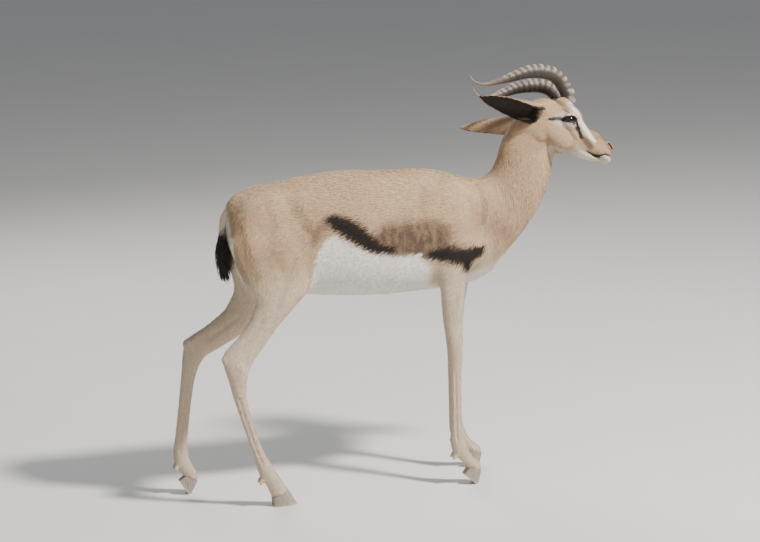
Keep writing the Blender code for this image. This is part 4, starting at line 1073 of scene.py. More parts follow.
def strand_mesh(name, paths, halves, across, up, thick, round_off=None):
    """Locks along `paths` (lock, section, xyz), each with half widths at its sections, flat
    across `across`, with a low ridge on top and a point at the last section. With `round_off`
    they are shaded like the skin that they lie on, turned by that much towards their edges."""
    count, sections = paths.shape[:2]
    rings = sections - 1
    per = 3 * rings + 1
    points = np.empty((count, per, 3))
    for k in range(rings):
        half = halves[:, k, None]
        points[:, 3 * k] = paths[:, k] + across * half
        points[:, 3 * k + 1] = paths[:, k] - across * half
        points[:, 3 * k + 2] = paths[:, k] + up * thick[:, None]
    points[:, -1] = paths[:, -1]
    faces = [(0, 1, 2)]
    for k in range(rings - 1):
        left, right, ridge = 3 * k, 3 * k + 1, 3 * k + 2
        faces += [(left, ridge, ridge + 3), (left, ridge + 3, left + 3)]
        faces += [(right, right + 3, ridge + 3), (right, ridge + 3, ridge)]
        faces += [(left, left + 3, right + 3), (left, right + 3, right)]
    left, right, ridge, tip = per - 4, per - 3, per - 2, per - 1
    faces += [(left, ridge, tip), (right, tip, ridge), (left, tip, right)]
    faces = np.array(faces)
    corners = (np.arange(count)[:, None, None] * per + faces[None]).reshape(-1).astype(np.int32)
    mesh = bpy.data.meshes.new(name)
    mesh.vertices.add(count * per)
    mesh.vertices.foreach_set("co", points.reshape(-1).astype(np.float32))
    mesh.loops.add(len(corners))
    mesh.loops.foreach_set("vertex_index", corners)
    mesh.polygons.add(len(corners) // 3)
    mesh.polygons.foreach_set("loop_start", np.arange(0, len(corners), 3, dtype=np.int32))
    mesh.update(calc_edges=True)
    mesh.shade_smooth()
    if round_off is not None:
        turned = np.repeat(up[:, None], per, axis=1)
        turned[:, 0:per - 1:3] += round_off * across[:, None]
        turned[:, 1:per - 1:3] -= round_off * across[:, None]
        mesh.normals_split_custom_set_from_vertices(unit(turned.reshape(-1, 3)).tolist())
    return new_object(name, mesh)


def store(mesh, name, values):
    held = mesh.attributes.new(name, "FLOAT", "POINT")
    held.data.foreach_set("value", np.ascontiguousarray(values, np.float32))


PARTS = ("haunch", "flank", "shoulder", "neck", "head", "ear", "foreleg", "hindleg")
REGIONS = tuple(f"{part}_{word}" for part in PARTS for _, word in SIDES)


def regions_of(points, ears):
    """The number in REGIONS that each point belongs to."""
    x, y, z = points.T
    skull = (x - 0.302) * 0.653 + (z - 0.648) * 0.758
    part = np.where(x < -0.120, 0, np.where(x < 0.045, 1, 2))
    part = np.where(up_the_neck(x, z) > 0, 3, part)
    part = np.where(skull > 0, 4, part)
    part = np.where(ears[0] > 0.3, 5, part)
    part = np.where(z < 0.39, np.where(x < -0.05, 7, 6), part)
    part = np.where((z < 0.39) & (np.abs(y) < 0.030) & (x > -0.16) & (x < 0.10), 1, part)
    return 2 * part + (y > 0)


class Unwrap:
    """The skin laid flat: each region seen along each axis is a chart, in a cell of one grid."""

    def __init__(self, points, normals, ears):
        charts = self.charts(points, normals, ears)
        self.low = np.zeros((len(REGIONS) * 6, 2))
        self.span = np.ones((len(REGIONS) * 6, 2))
        self.cell = np.zeros((len(REGIONS) * 6, 2))
        used = np.unique(charts)
        self.cells = math.ceil(math.sqrt(len(used)))
        for number, chart in enumerate(used):
            inside = charts == chart
            flat = self.flat(points[inside], np.full(inside.sum(), chart))
            self.low[chart] = flat.min(0)
            self.span[chart] = np.maximum(np.ptp(flat, 0), 1e-4)
            self.cell[chart] = divmod(number, self.cells)

    def charts(self, points, normals, ears):
        axis = np.abs(normals).argmax(1)
        sign = normals[np.arange(len(points)), axis] > 0
        return regions_of(points, ears) * 6 + axis * 2 + sign

    def flat(self, points, charts):
        axis = charts % 6 // 2
        across = np.where(axis == 0, points[:, 1], points[:, 0])
        rise = np.where(axis == 2, points[:, 1], points[:, 2])
        return np.stack([across, rise], 1)

    def places(self, points, normals, ears):
        charts = self.charts(points, normals, ears)
        share = (self.flat(points, charts) - self.low[charts]) / self.span[charts]
        return (self.cell[charts] + 0.04 + 0.92 * np.clip(share, 0, 1)) / self.cells


def coat_sizes(points, ears, marks):
    """Each point's lock length, lock width and how far a lock's tip stands off the skin."""
    z = points[:, 2]
    legs = smoothstep(0.43, 0.34, z)
    feet = smoothstep(0.14, 0.05, z)
    head = on_head(points)
    muzzle = smoothstep(0.05, 0.13, in_head(points)[:, 0]) * head
    share, inside = ears[0], marks["shaded_cup"]

    def sized(trunk, leg, foot, crown, nose, ear, shaded_cup):
        value = trunk + (leg - trunk) * legs
        value = value + (foot - value) * feet
        value = value + (crown + (nose - crown) * muzzle - value) * head
        value = value + (ear - value) * share
        return value + (shaded_cup - value) * inside

    length = sized(0.0125, 0.0085, 0.0060, 0.0068, 0.0028, 0.0060, 0.0080)
    width = sized(0.0016, 0.0013, 0.0012, 0.0011, 0.0008, 0.0011, 0.0011)
    lift = sized(0.0008, 0.0006, 0.0005, 0.0005, 0.0002, 0.0005, 0.0010)
    return length, width, lift


def triangles_of(mesh):
    mesh.calc_loop_triangles()
    corners = np.empty(len(mesh.loop_triangles) * 3, np.int32)
    mesh.loop_triangles.foreach_get("vertices", corners)
    return corners.reshape(-1, 3)


def hairiness(points, bare):
    """1 where hair grows, 0 on bare skin, in the eye sockets and down at the hooves."""
    bald = smoothstep(0.25, 0.6, bare)
    in_socket = np.zeros(len(points))
    for side in (RIGHT, LEFT):
        away = np.linalg.norm(points - np.array(eye_centre(side)), axis=1)
        in_socket = np.maximum(in_socket, away < EYE_RADIUS + 0.0004)
    return (1 - np.maximum(bald, in_socket)) * smoothstep(0.010, 0.020, points[:, 2])


def sown(points, corners, each, draws):
    """Roots spread at random over the triangles, by how many locks `each` place wants on its area:
    every root's triangle, and its weights of the triangle's corners."""
    one, two, three = (points[corners[:, k]] for k in range(3))
    area = np.linalg.norm(np.cross(two - one, three - one), axis=1) / 2
    wanted = area * COVER * THICKNESS_OF_COAT * each[corners].mean(1)
    number = np.floor(wanted + draws.random(len(wanted))).astype(int)
    picked = np.repeat(np.arange(len(corners)), number)
    one, two = draws.random((2, len(picked)))
    over = one + two > 1
    one, two = np.where(over, 1 - one, one), np.where(over, 1 - two, two)
    return picked, np.stack([1 - one - two, one, two], 1)


def lock_paths(points, corners, root, out, way, long, high):
    """Each lock's root, middle and tip, which follow the skin and rise off it to the lock's height."""
    tree = BVHTree.FromPolygons(points.tolist(), corners.tolist())
    paths = np.empty((len(root), 3, 3))
    paths[:, 0] = root - out * ROOT_SINK
    for section, share, rise in ((1, 0.5, 0.75), (2, 1.0, 1.0)):
        aim = root + way * (long * share)[:, None]
        for index, spot in enumerate(aim):
            near, normal, _, _ = tree.find_nearest(spot)
            paths[index, section] = near + normal * (high[index] * rise)
    return paths


def grow_coat(skin, fields):
    """Short overlapping locks all over the skin, joined into one piece for each region."""
    points, normals, ears, marks, flow, unwrap = fields
    length, width, lift = coat_sizes(points, ears, marks)
    corners = triangles_of(skin.data)
    draws = np.random.default_rng(11)
    each = hairiness(points, marks["bare"]) / (0.6 * length * width)
    picked, weights = sown(points, corners, each, draws)

    def at(values):
        held = values[corners[picked]]
        if held.ndim == 3:
            return np.einsum("ij,ijk->ik", weights, held)
        return np.sum(weights * held, 1)

    root, out, way = at(points), unit(at(normals)), at(flow)
    way = unit(way - out * np.sum(way * out, 1)[:, None])
    across = np.cross(out, way)
    yaw = np.radians(draws.normal(0, 6, len(picked)))[:, None]
    way = way * np.cos(yaw) + across * np.sin(yaw)
    across = np.cross(out, way)
    long = at(length) * draws.uniform(0.75, 1.25, len(picked))
    wide = at(width) * draws.uniform(0.8, 1.2, len(picked))
    high = at(lift) * draws.uniform(0.6, 1.3, len(picked))
    paths = lock_paths(points, corners, root, out, way, long, high)
    halves = np.stack([wide * 0.36, wide * 0.5], 1)
    held = {name: at(values) for name, values in marks.items()}
    held["vary"] = draws.random(len(picked))
    root_ears = [at(values) for values in ears]
    region = regions_of(root, root_ears)
    spots = unwrap.places(root, out, root_ears)
    made = []
    for number, name in enumerate(REGIONS):
        mine = region == number
        shape = paths[mine], halves[mine], across[mine], out[mine], wide[mine] * 0.13
        piece = strand_mesh("coat_" + name, *shape, round_off=0.30)
        per = len(piece.data.vertices) // mine.sum()
        for mark, values in held.items():
            store(piece.data, mark, np.repeat(values[mine], per))
        store(piece.data, "tip", np.tile(np.array([0, 0, 0, 0.5, 0.5, 0.5, 1.0]), mine.sum()))
        store(piece.data, "beside", np.tile(np.array([0, 1, 0.5, 0, 1, 0.5, 0.5]), mine.sum()))
        lay_patches(piece.data, spots[mine], per)
        made.append(piece)
    return made


def lay_patches(mesh, spots, per):
    """Gives each lock a small patch of the bake's map at its root's place on the skin's unwrap."""
    sheet = mesh.uv_layers.new(name="OFBake")
    corner = np.empty(len(mesh.loops), np.int32)
    mesh.loops.foreach_get("vertex_index", corner)
    lock, part = corner // per, corner % per
    rings = (per - 1) // 3
    along = np.minimum(part // 3, rings) / rings
    beside = np.where(part == per - 1, 0, np.choose(part % 3, (-0.5, 0.5, 0.0)))
    flat = spots[lock] + PATCH * (np.stack([beside, along - 0.5 + 0.1 * (part % 3 == 2)], 1))
    sheet.data.foreach_set("uv", np.clip(flat, 0, 1).astype(np.float32).ravel())


# Materials


class Shader:
    """A material's nodes, added one at a time. A value is a number, a colour or another's output."""

    def __init__(self, name):
        self.material = bpy.data.materials.new(name)
        self.material.use_nodes = True
        self.tree = self.material.node_tree
        self.surface = self.tree.nodes["Principled BSDF"]

    def add(self, kind, inputs, **settings):
        made = self.tree.nodes.new(kind)
        for key, value in settings.items():
            setattr(made, key, value)
        for key, value in inputs.items():
            self.feed(made.inputs[key], value)
        return made

    def feed(self, socket, value):
        if isinstance(value, bpy.types.NodeSocket):
            self.tree.links.new(value, socket)
        else:
            socket.default_value = value

    def finish(self, colour, roughness, normal=None, **fixed):
        self.feed(self.surface.inputs["Base Color"], colour)
        self.feed(self.surface.inputs["Roughness"], roughness)
        if normal:
            self.feed(self.surface.inputs["Normal"], normal)
        for key, value in fixed.items():
            self.surface.inputs[key.replace("_", " ")].default_value = value
        return self.material

    def mark(self, name):
        return self.add("ShaderNodeAttribute", {}, attribute_name=name).outputs["Fac"]

    def place(self):
        return self.add("ShaderNodeTexCoord", {}).outputs["Object"]

    def stretched(self, x, y, z):
        return self.add("ShaderNodeMapping", {"Vector": self.place(), "Scale": (x, y, z)}).outputs["Vector"]

    def noise(self, scale, detail, vector=None):
        inputs = {"Vector": vector or self.place(), "Scale": scale, "Detail": detail}
        return self.add("ShaderNodeTexNoise", inputs).outputs["Fac"]

    def sum(self, one, two, operation="ADD"):
        return self.add("ShaderNodeMath", {0: one, 1: two}, operation=operation).outputs[0]

    def ramp(self, value, low, high, start=0.0, end=1.0):
        inputs = {"Value": value, "From Min": low, "From Max": high, "To Min": start, "To Max": end}
        return self.add("ShaderNodeMapRange", inputs, interpolation_type="SMOOTHSTEP").outputs["Result"]

    def mix(self, share, one, two, blend="MIX"):
        made = self.add("ShaderNodeMix", {0: share, 6: one, 7: two}, data_type="RGBA", blend_type=blend)
        return made.outputs[2]

    def bump(self, height, distance, strength):
        inputs = {"Height": height, "Distance": distance, "Strength": strength}
        return self.add("ShaderNodeBump", inputs).outputs["Normal"]


FAWN = (0.510, 0.350, 0.208, 1)
FAWN_DEEP = (0.415, 0.272, 0.155, 1)
PALE = (0.680, 0.550, 0.412, 1)
WHITE = (0.860, 0.815, 0.740, 1)
# Brown hair, also used for painted shade
BROWN_HAIR_AND_SHADE = (0.112, 0.070, 0.045, 1)
DARK = (0.016, 0.011, 0.009, 1)
BARE = (0.020, 0.015, 0.014, 1)
# Painted shade inside the ears' cups
EAR_CUP_SHADE = (0.036, 0.026, 0.021, 1)
TUFT = ((0.010, 0.0085, 0.008, 1), (0.040, 0.030, 0.024, 1))
HORN = ((0.066, 0.051, 0.040, 1), (0.130, 0.103, 0.080, 1))
# Crests paler by wear and by painted light on the top; painted shade underneath
HORN_CREST_WEAR_AND_TOP_LIGHT = (0.400, 0.335, 0.265, 1)
HORN_UNDER_SHADE = (0.024, 0.018, 0.015, 1)
HORN_TIP = (0.330, 0.275, 0.215, 1)
HORN_CRACK = (0.045, 0.034, 0.027, 1)
HOOF = ((0.270, 0.225, 0.180, 1), (0.400, 0.340, 0.275, 1))
HOOF_EDGE = (0.500, 0.440, 0.360, 1)
IRIS = ((0.010, 0.005, 0.003, 1), (0.042, 0.019, 0.009, 1))
IRIS_RIM = (0.012, 0.008, 0.007, 1)
PUPIL = (0.003, 0.003, 0.004, 1)
FLOOR = ((0.66, 0.65, 0.63, 1), (0.70, 0.69, 0.67, 1))


def coat_material():
    """Fawn hair with its markings and its painted shade, whose edges break up among the hairs."""
    s = Shader("coat")
    mottle = s.noise(14, 3)
    colour = s.mix(s.ramp(mottle, 0.35, 0.75, 0.0, 0.7), FAWN, FAWN_DEEP)
    ragged = s.sum(s.sum(s.noise(240, 3), 0.5, "SUBTRACT"), 0.42, "MULTIPLY")
    patchy = s.ramp(s.noise(1.0, 3, s.stretched(85, 85, 42)), 0.25, 0.75, 0.72, 1.14)
    # The brown paint also carries painted shade, and the ears' cups take painted shade
    for name, paint, most in (
        ("legs", PALE, 0.80), ("brown_and_shade", BROWN_HAIR_AND_SHADE, 1.0), ("dark", DARK, 1.0), ("white", WHITE, 1.0),
        ("shaded_cup", EAR_CUP_SHADE, 1.0), ("bare", BARE, 1.0),
    ):
        share = s.mark(name)
        if name == "dark":
            share = s.ramp(s.sum(share, ragged), 0.02, 0.82)
        if name == "brown_and_shade":
            share = s.sum(share, patchy, "MULTIPLY")
        colour = s.mix(s.sum(share, most, "MULTIPLY"), colour, paint)
    fine = s.noise(1.0, 2, s.stretched(260, 900, 260))
    beside = s.sum(s.sum(s.mark("beside"), 5.0, "MULTIPLY"), s.sum(s.mark("vary"), 67.0, "MULTIPLY"))
    hair = s.noise(1.0, 2, s.add("ShaderNodeCombineXYZ", {0: beside, 1: s.mark("tip")}).outputs[0])
    # Each lock's tone varies at random, and each is darker towards its root: painted shade under the locks
    each, root_to_tip = s.ramp(s.mark("vary"), 0, 1, 0.93, 1.05), s.ramp(s.mark("tip"), 0, 1, 0.92, 1.03)
    shade = s.sum(each, root_to_tip, "MULTIPLY")
    shade = s.sum(shade, s.ramp(s.sum(fine, hair), 0.7, 1.3, 0.86, 1.10), "MULTIPLY")
    whole = s.add("ShaderNodeCombineColor", {0: shade, 1: shade, 2: shade}).outputs[0]
    colour = s.mix(1.0, colour, whole, "MULTIPLY")
    normal = s.bump(s.sum(fine, hair), 0.0003, 0.6)
    roughness = s.ramp(s.mark("bare"), 0, 1, 0.68, 0.40)
    return s.finish(colour, roughness, normal, Specular_IOR_Level=0.2, Sheen_Weight=0.04)


def tail_material():
    s = Shader("tail_hair")
    vary = s.mark("vary")
    colour = s.mix(s.ramp(vary, 0.2, 1.0), *TUFT)
    colour = s.mix(s.mark("fawn"), colour, PALE)
    fine = s.noise(1.0, 2, s.stretched(1500, 1500, 120))
    return s.finish(colour, 0.55, s.bump(fine, 0.0003, 0.5), Specular_IOR_Level=0.4)


def horn_material():
    """Dark horn, paler and rubbed on the crests, with fine lines along it; the crests are pale only on the
    top, as wear and painted light, and the underside is painted shade.
    """
    s = Shader("horn")
    ring, along, around, front = s.mark("ring"), s.mark("along"), s.mark("around"), s.mark("front")
    streaks = {0: s.sum(along, 1.1, "MULTIPLY"), 1: s.sum(around, 46.0, "MULTIPLY")}
    grain = s.noise(1.0, 4, s.add("ShaderNodeCombineXYZ", streaks).outputs[0])
    colour = s.mix(s.ramp(s.noise(55, 3), 0.35, 0.7), *HORN)
    # Paler crests, kept to the top: wear and painted light
    crest = s.ramp(s.sum(ring, s.sum(grain, 0.9, "MULTIPLY")), 0.85, 1.55, 0.10, 0.90)
    crest = s.sum(crest, s.ramp(front, 0.42, 0.95, 0.0, 1.0), "MULTIPLY")
    colour = s.mix(crest, colour, HORN_CREST_WEAR_AND_TOP_LIGHT)
    # Painted shade on the underside
    colour = s.mix(s.ramp(front, 0.64, 0.30, 0.0, 0.85), colour, HORN_UNDER_SHADE)
    colour = s.mix(s.ramp(along, 24.0, 37.0, 0.0, 0.75), colour, HORN_TIP)
    colour = s.mix(s.ramp(grain, 0.52, 0.34, 0.0, 0.55), colour, HORN_CRACK)
    roughness = s.ramp(grain, 0.3, 0.7, 0.38, 0.60)
    return s.finish(colour, roughness, s.bump(grain, 0.0004, 0.7), Specular_IOR_Level=0.4)


def hoof_material():
    s = Shader("hoof")
    lines = s.noise(1.0, 3, s.stretched(90, 90, 1100))
    streak = s.noise(1.0, 3, s.stretched(700, 700, 60))
    colour = s.mix(s.ramp(streak, 0.35, 0.7), *HOOF)
    low = s.ramp(s.mark("rise"), 0.30, 0.0, 0.0, 1.0)
    colour = s.mix(s.sum(low, s.noise(260, 3), "MULTIPLY"), colour, HOOF_EDGE)
    roughness = s.ramp(lines, 0.3, 0.7, 0.38, 0.60)
    return s.finish(colour, roughness, s.bump(lines, 0.0004, 0.6), Specular_IOR_Level=0.45)


def eye_material():
    """A very dark brown eye with a long level pupil, wet all over."""
    s = Shader("eye")
    split = s.add("ShaderNodeSeparateXYZ", {"Vector": s.place()})
    level, rise = split.outputs[0], split.outputs[1]
    long = s.sum(s.sum(level, 0.0062, "DIVIDE"), 2.0, "POWER")
    tall = s.sum(s.sum(rise, 0.0030, "DIVIDE"), 2.0, "POWER")
    pupil = s.ramp(s.sum(long, tall), 0.8, 1.2, 1.0, 0.0)
    away = s.sum(s.sum(s.sum(level, 2.0, "POWER"), s.sum(rise, 2.0, "POWER")), 0.5, "POWER")
    rays = s.noise(1.0, 4, s.stretched(500, 500, 60))
    iris = s.mix(s.ramp(away, 0.0085, 0.0102), s.mix(rays, *IRIS), IRIS_RIM)
    colour = s.mix(pupil, iris, PUPIL)
    return s.finish(colour, 0.15, None, Specular_IOR_Level=0.35, Coat_Weight=0.7, Coat_Roughness=0.02)


def floor_material():
    s = Shader("floor")
    colour = s.mix(s.noise(3, 4), *FLOOR)
    return s.finish(colour, 0.9, s.bump(s.noise(400, 2), 0.0004, 0.2), Specular_IOR_Level=0.2)


# Horns, hooves, eyes, tail and lashes

LASHES = 70


def smooth_route(points, count):
    """Evenly spaced points on a smooth curve through the given ones."""
    rows = [((p.x, p.y), (p.z, 0.0), 0.0) for p in points]
    dense = [Vector(row[:3]) for row in smooth_rows(rows, 12)]
    lengths = [0.0]
    for one, two in zip(dense, dense[1:]):
        lengths.append(lengths[-1] + (two - one).length)
    wanted = np.linspace(0, lengths[-1], count)
    spots = [np.interp(wanted, lengths, [p[axis] for p in dense]) for axis in range(3)]
    return [Vector(spot) for spot in zip(*spots)]


def horn(side, word):
    """A horn with rings that stand out most at the front, and a smooth tip."""
    loops, sides, cad_loops = 246, 48, 42
    ringed = 2 * HORN_RINGS + 1
    points = smooth_route([p * Vector((1, side, 1)) for p in HORN_ROUTE], loops)
    root = points[0].copy()
    roll, lean, spread = (math.radians(turn) for turn in HORN_TURN[side])
    turn = Matrix.Rotation(roll, 3, "X") @ Matrix.Rotation(spread, 3, "Z") @ Matrix.Rotation(lean, 3, "Y")
    points = [root + turn @ (point - root) * HORN_SIZE[side] for point in points]
    draws = np.random.default_rng(5 + side)
    heights = draws.uniform(0.75, 1.2, HORN_RINGS + 4)
    slants = draws.uniform(-0.16, 0.16, HORN_RINGS + 4)
    bm = bmesh.new()
    rings, crests, along, around, front_share = [], [], [], [], []
    for k, point in enumerate(points):
        share = k / (loops - 1)
        ahead = (points[min(k + 1, loops - 1)] - points[max(k - 1, 0)]).normalized()
        across = Vector((0, side, 0))
        across = (across - ahead * ahead.dot(across)).normalized()
        front = across.cross(ahead) * side
        radius = HORN_RADIUS * (1 - 0.08 * share) * (1 - 0.93 * smoothstep(0.38, 1.04, share))
        radius *= 0.5 + 0.5 * smoothstep(0.0, 0.045, share)
        step = share * (cad_loops - 1)
        fade = 1 - smoothstep(ringed - 6, ringed + 2, step)
        loop = []
        for s in range(sides):
            turn = 2 * math.pi * s / sides
            forward = math.cos(turn)
            phase = step / 2 + 0.5 * slants[int(step / 2) % len(slants)] * math.sin(turn) * fade
            number = int(phase) % len(heights)
            crest = abs(math.sin(math.pi * phase)) ** 1.3 * fade * heights[number]
            swell = 1 + 0.17 * crest * (0.55 + 0.45 * forward) - 0.02 * fade
            line = 0.006 * math.sin(9 * turn + 3 * share) + 0.004 * math.sin(23 * turn)
            offset = front * (forward * 1.05) + across * (math.sin(turn) * 0.86)
            loop.append(bm.verts.new(point + offset * radius * (swell + line)))
            crests.append(crest)
            along.append(share * 40)
            around.append(s / sides)
            front_share.append(0.5 + 0.5 * forward)
        rings.append(loop)
    close_rings(bm, rings, head_frame())
    made = new_object(f"horn_{word}_sheath", mesh_of(f"horn_{word}_sheath", bm))
    store(made.data, "ring", crests)
    store(made.data, "along", along)
    store(made.data, "around", around)
    store(made.data, "front", front_share)
    made.data.shade_smooth()
    return made


def claw(foot, word, side):
    """One claw of a cloven hoof, standing on its toe by the foot's tilt, with its growth rings."""
    _, length, tilt = FEET[foot]
    half, spread, sides, levels = 0.0067, 0.0077, 48, 22
    heel_top = hoof_heel(length)
    bm = bmesh.new()
    rings, rises = [], []
    for level in range(levels):
        rise = level / (levels - 1)
        ring = []
        for k in range(sides):
            turn = 2 * math.pi * k / sides
            ahead, aside = math.cos(turn), math.sin(turn)
            sharp = smoothstep(0.1, 1.0, ahead)
            wave = 1 + 0.020 * math.sin(rise * 34 + ahead) * (1 - rise) - 0.05 * smoothstep(0.05, 0.0, rise)
            sole = Vector(((ahead - 1) / 2 * length, half * aside * (1 - 0.55 * sharp) * wave, 0))
            top = heel_top.lerp(HOOF_FRONT, (ahead + 1) / 2)
            top.y = half * 0.97 * aside * (1 - 0.2 * sharp) * wave
            spot = sole.lerp(top, rise)
            spot.y += side * (spread - 0.0013 * (ahead + 1) / 2)
            ring.append(bm.verts.new(spot))
            rises.append(rise)
        rings.append(ring)
    close_rings(bm, rings)
    held = bm.verts.layers.float.new("rise")
    bm.verts.ensure_lookup_table()
    for vert, rise in zip(bm.verts, rises):
        vert[held] = rise
    bm.transform(hoof_place(foot))
    if tilt:
        geom = [*bm.verts, *bm.edges, *bm.faces]
        floor = {"plane_co": (0, 0, 0), "plane_no": (0, 0, -1), "clear_outer": True}
        cut = bmesh.ops.bisect_plane(bm, geom=geom, **floor)["geom_cut"]
        bmesh.ops.contextual_create(bm, geom=[edge for edge in cut if isinstance(edge, bmesh.types.BMEdge)])
    name = f"claw_{foot}_{word}"
    made = new_object(name, mesh_of(name, bm))
    made.data.shade_smooth()
    made.data.set_sharp_from_angle(angle=math.radians(50))
    return made


def eyeball(side, word):
    """An eyeball with its clear bulge, looking out to the side and a little ahead."""
    bm = bmesh.new()
    bmesh.ops.create_uvsphere(bm, u_segments=64, v_segments=48, radius=EYE_RADIUS)
    for vert in bm.verts:
        off_axis = math.hypot(vert.co.x, vert.co.y) / 0.0100
        if vert.co.z > 0:
            vert.co.z += 0.0009 * float(fall(min(off_axis, 1.0)))
    name = f"eyeball_{word}"
    made = new_object(name, mesh_of(name, bm))
    gaze = Vector((0.30, side * 0.95, 0.04)).normalized()
    level = (Vector((1, 0, 0.16)) - gaze * gaze.x).normalized()
    level = (level - gaze * gaze.dot(level)).normalized()
    turn = Matrix((level, gaze.cross(level), gaze)).transposed().to_4x4()
    made.matrix_world = head_frame() @ Matrix.Translation(EYE_AT * Vector((1, side, 1))) @ turn
    made.data.shade_smooth()
    return made


def lashes(side, word):
    """Short dark lashes along the upper lid."""
    count = LASHES
    draws = np.random.default_rng(21 + side)
    share = draws.uniform(0.06, 0.94, count)
    along = LID_HALF * (1 - 2 * share)
    rise = (LID_EDGES[0] + 0.0008) * np.sin(np.pi * share) ** 0.8 + LID_RISE * (1 - 2 * share) - LID_DROP
    reach = np.sqrt(EYE_RADIUS**2 - along**2 - rise**2) + 0.0016
    root = np.stack([along, side * reach, rise], 1) + np.array(EYE_AT * Vector((1, side, 1)))
    out = unit(np.stack([along * 18, np.full(count, side * 0.9), np.full(count, 0.12)], 1))
    long = draws.uniform(0.0045, 0.0075, count)[:, None]
    down = np.array((0.0, 0.0, -1.0))
    paths = np.stack([root, root + out * long * 0.5 + down * long * 0.14, root + out * long], 1)
    across = unit(np.cross(out, np.array((0.0, 0.0, 1.0))))
    up = unit(np.cross(across, out))
    halves = np.full((count, 2), 0.00022)
    paths = paths @ HEAD[:3, :3].T + HEAD[:3, 3]
    turned = [rows @ HEAD[:3, :3].T for rows in (across, up)]
    made = strand_mesh(f"lashes_{word}", paths, halves, *turned, np.full(count, 0.0003))
    store(made.data, "vary", np.zeros(count * 7))
    return made


TAIL_LOCKS = 2600

# Heights between which the tail turns from black to fawn
TUFT_TOP = (0.498, 0.516)
TAIL_ROUTE = (
    Vector((-0.2740, 0, 0.5500)),
    Vector((-0.2890, 0, 0.5280)),
    Vector((-0.2955, 0, 0.4950)),
    Vector((-0.2985, 0, 0.4600)),
    Vector((-0.2960, 0, 0.4330)),
)


def along_route(route, share):
    """Places at shares of the way along a route of evenly spaced rows."""
    last = len(route) - 1
    return np.stack([np.interp(share * last, np.arange(last + 1), column) for column in route.T], 1)


def tail_core(points):
    radii = [0.0078 - 0.0042 * k / (len(points) - 1) for k in range(len(points))]
    bm = bmesh.new()
    tube(bm, points, radii, sides=20)
    core = new_object("tail_core", mesh_of("tail_core", bm))
    store(core.data, "vary", np.full(len(core.data.vertices), 0.2))
    store(core.data, "fawn", smoothstep(*TUFT_TOP, points_of(core.data)[:, 2]))
    core.data.shade_smooth()
    return core


def tail_locks(points):
    """Short pale hair down the tail's upper half, and the long black hair of its tuft."""
    draws = np.random.default_rng(7)
    count, sections = TAIL_LOCKS, 6
    share = draws.uniform(0.0, 1.0, count) ** 0.8
    route = np.array(points)
    spots = along_route(route, share)
    ahead = unit(along_route(np.gradient(route, axis=0), share))
    turn = draws.uniform(0, 2 * math.pi, count)
    side = unit(np.cross(ahead, np.array((0.0, 1.0, 0.0))))
    other = np.cross(ahead, side)
    out = side * np.cos(turn)[:, None] + other * np.sin(turn)[:, None]
    tuft = smoothstep(0.34, 0.60, share)
    end = smoothstep(0.62, 1.0, share)
    long = (0.011 + 0.024 * tuft) * (1 - 0.30 * end) * draws.uniform(0.55, 1.20, count)
    splay = ((0.08 + 0.95 * tuft * draws.uniform(0.1, 1.0, count)) * (1 - 0.25 * end))[:, None]
    radius = (0.0078 - 0.0042 * share - 0.0018 * end)[:, None]
    droop = np.array((0.20, 0.0, -1.0))
    way = unit(ahead * (1 - tuft[:, None]) + droop * tuft[:, None])
    paths = np.empty((count, sections, 3))
    for k in range(sections):
        t = k / (sections - 1)
        spread = out * (radius * 0.85 + splay * long[:, None] * (t - 0.70 * t * t))
        paths[:, k] = spots + spread + way * (long * t)[:, None]
    taper = np.array([0.8, 1.0, 0.9, 0.7, 0.4])
    halves = draws.uniform(0.0005, 0.0010, count)[:, None] * taper
    across = unit(np.cross(way, out))
    made = strand_mesh("tail_locks", paths, halves, across, out, np.full(count, 0.0004))
    per = 3 * (sections - 1) + 1
    store(made.data, "vary", np.repeat(draws.random(count), per))
    store(made.data, "fawn", np.repeat(smoothstep(*TUFT_TOP, spots[:, 2]), per))
    return made


# Putting it together


# Each lamp's name, place, size, power and colour
LIGHTS = (
    ("key", (1.9, -2.0, 3.5), 0.5, 365, (1.0, 0.97, 0.93)),
    ("fill", (-2.6, -2.2, 1.5), 3.4, 6, (1, 1, 1)),
    ("back", (-0.6, 2.6, 2.4), 1.6, 50, (1, 1, 1)),
)
SKY = (0.92, 0.95, 1.0, 1)
SKY_STRENGTH = 0.30


def settle(obj, look, nodes=()):
    """Moves a piece from the model's own place onto the frame, gives it its look, hangs it under the root
    and hides the solids that it stands for.
    """
    obj.matrix_world = Matrix.Translation(SHIFT) @ obj.matrix_world
    obj.data.materials.clear()
    obj.data.materials.append(look)
    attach(obj, "root")
    if nodes:
        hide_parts(*nodes)


def add_camera():
    camera = bpy.data.cameras.new("camera")
    camera.sensor_width = 36
    camera.lens = FOCAL_PIXELS / PHOTO_WIDTH * camera.sensor_width
    made = new_object("camera", camera)
    look = (CAMERA_TO - CAMERA_FROM).to_track_quat("-Z", "Y").to_matrix().to_4x4()
    roll = Matrix.Rotation(-CAMERA_ROLL, 4, "Z")
    made.matrix_world = Matrix.Translation(CAMERA_FROM + SHIFT) @ look @ roll
    bpy.context.scene.camera = made


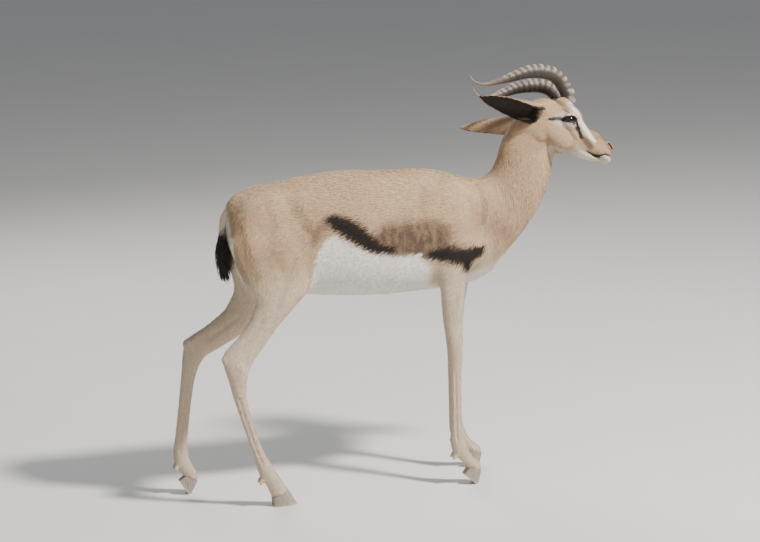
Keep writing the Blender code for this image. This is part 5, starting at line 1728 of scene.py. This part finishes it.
def add_light(name, at, size, power, colour):
    lamp = bpy.data.lights.new(name, "AREA")
    lamp.shape = "DISK"
    lamp.size = size
    lamp.energy = power
    lamp.color = colour
    made = new_object(name, lamp)
    at = Vector(at)
    aim = Vector((0, 0, 0.42)) - at
    made.matrix_world = Matrix.Translation(at) @ aim.to_track_quat("-Z", "Y").to_matrix().to_4x4()


def add_stage():
    bm = bmesh.new()
    bmesh.ops.create_grid(bm, x_segments=2, y_segments=2, size=60)
    floor = new_object("floor", mesh_of("floor", bm))
    floor.data.materials.append(floor_material())
    world = bpy.data.worlds.new("studio")
    bpy.context.scene.world = world
    world.use_nodes = True
    sky = world.node_tree.nodes["Background"]
    sky.inputs["Color"].default_value = SKY
    sky.inputs["Strength"].default_value = SKY_STRENGTH
    for row in LIGHTS:
        add_light(*row)


def main():
    add_camera()
    add_stage()
    skin = make_skin()
    points, normals = points_of(skin.data), normals_of(skin.data)
    ears = ear_fields(points, normals)
    marks = markings(points, ears)
    flow = lie_of_coat(points, normals, ears)
    unwrap = Unwrap(points, normals, ears)
    for name, values in marks.items():
        store(skin.data, name, values)
    store(skin.data, "vary", np.full(len(points), 0.35))
    # The skin under the coat takes the locks' darker root tone: painted shade
    store(skin.data, "tip", np.full(len(points), 0.2))
    store(skin.data, "beside", np.full(len(points), 0.5))
    coat = coat_material()
    flesh = ["torso", "neck", "head", "ear_right", "ear_left"]
    flesh += ["leg_fore_right", "leg_fore_left", "leg_hind_right", "leg_hind_left"]
    for piece in grow_coat(skin, (points, normals, ears, marks, flow, unwrap)):
        settle(piece, coat)
    settle(skin, coat, flesh)
    black = tail_material()
    tail = smooth_route(TAIL_ROUTE, 33)
    settle(tail_core(tail), black, ("tail",))
    settle(tail_locks(tail), black)
    horn_look, eye_look, hoof_look = horn_material(), eye_material(), hoof_material()
    for side, word in SIDES:
        settle(horn(side, word), horn_look, ("horn_" + word,))
        settle(eyeball(side, word), eye_look, ("eye_" + word,))
        settle(lashes(side, word), black)
        for foot in FEET:
            settle(claw(foot, word, side), hoof_look, (f"hoof_{foot}_{word}_claw",))


main()
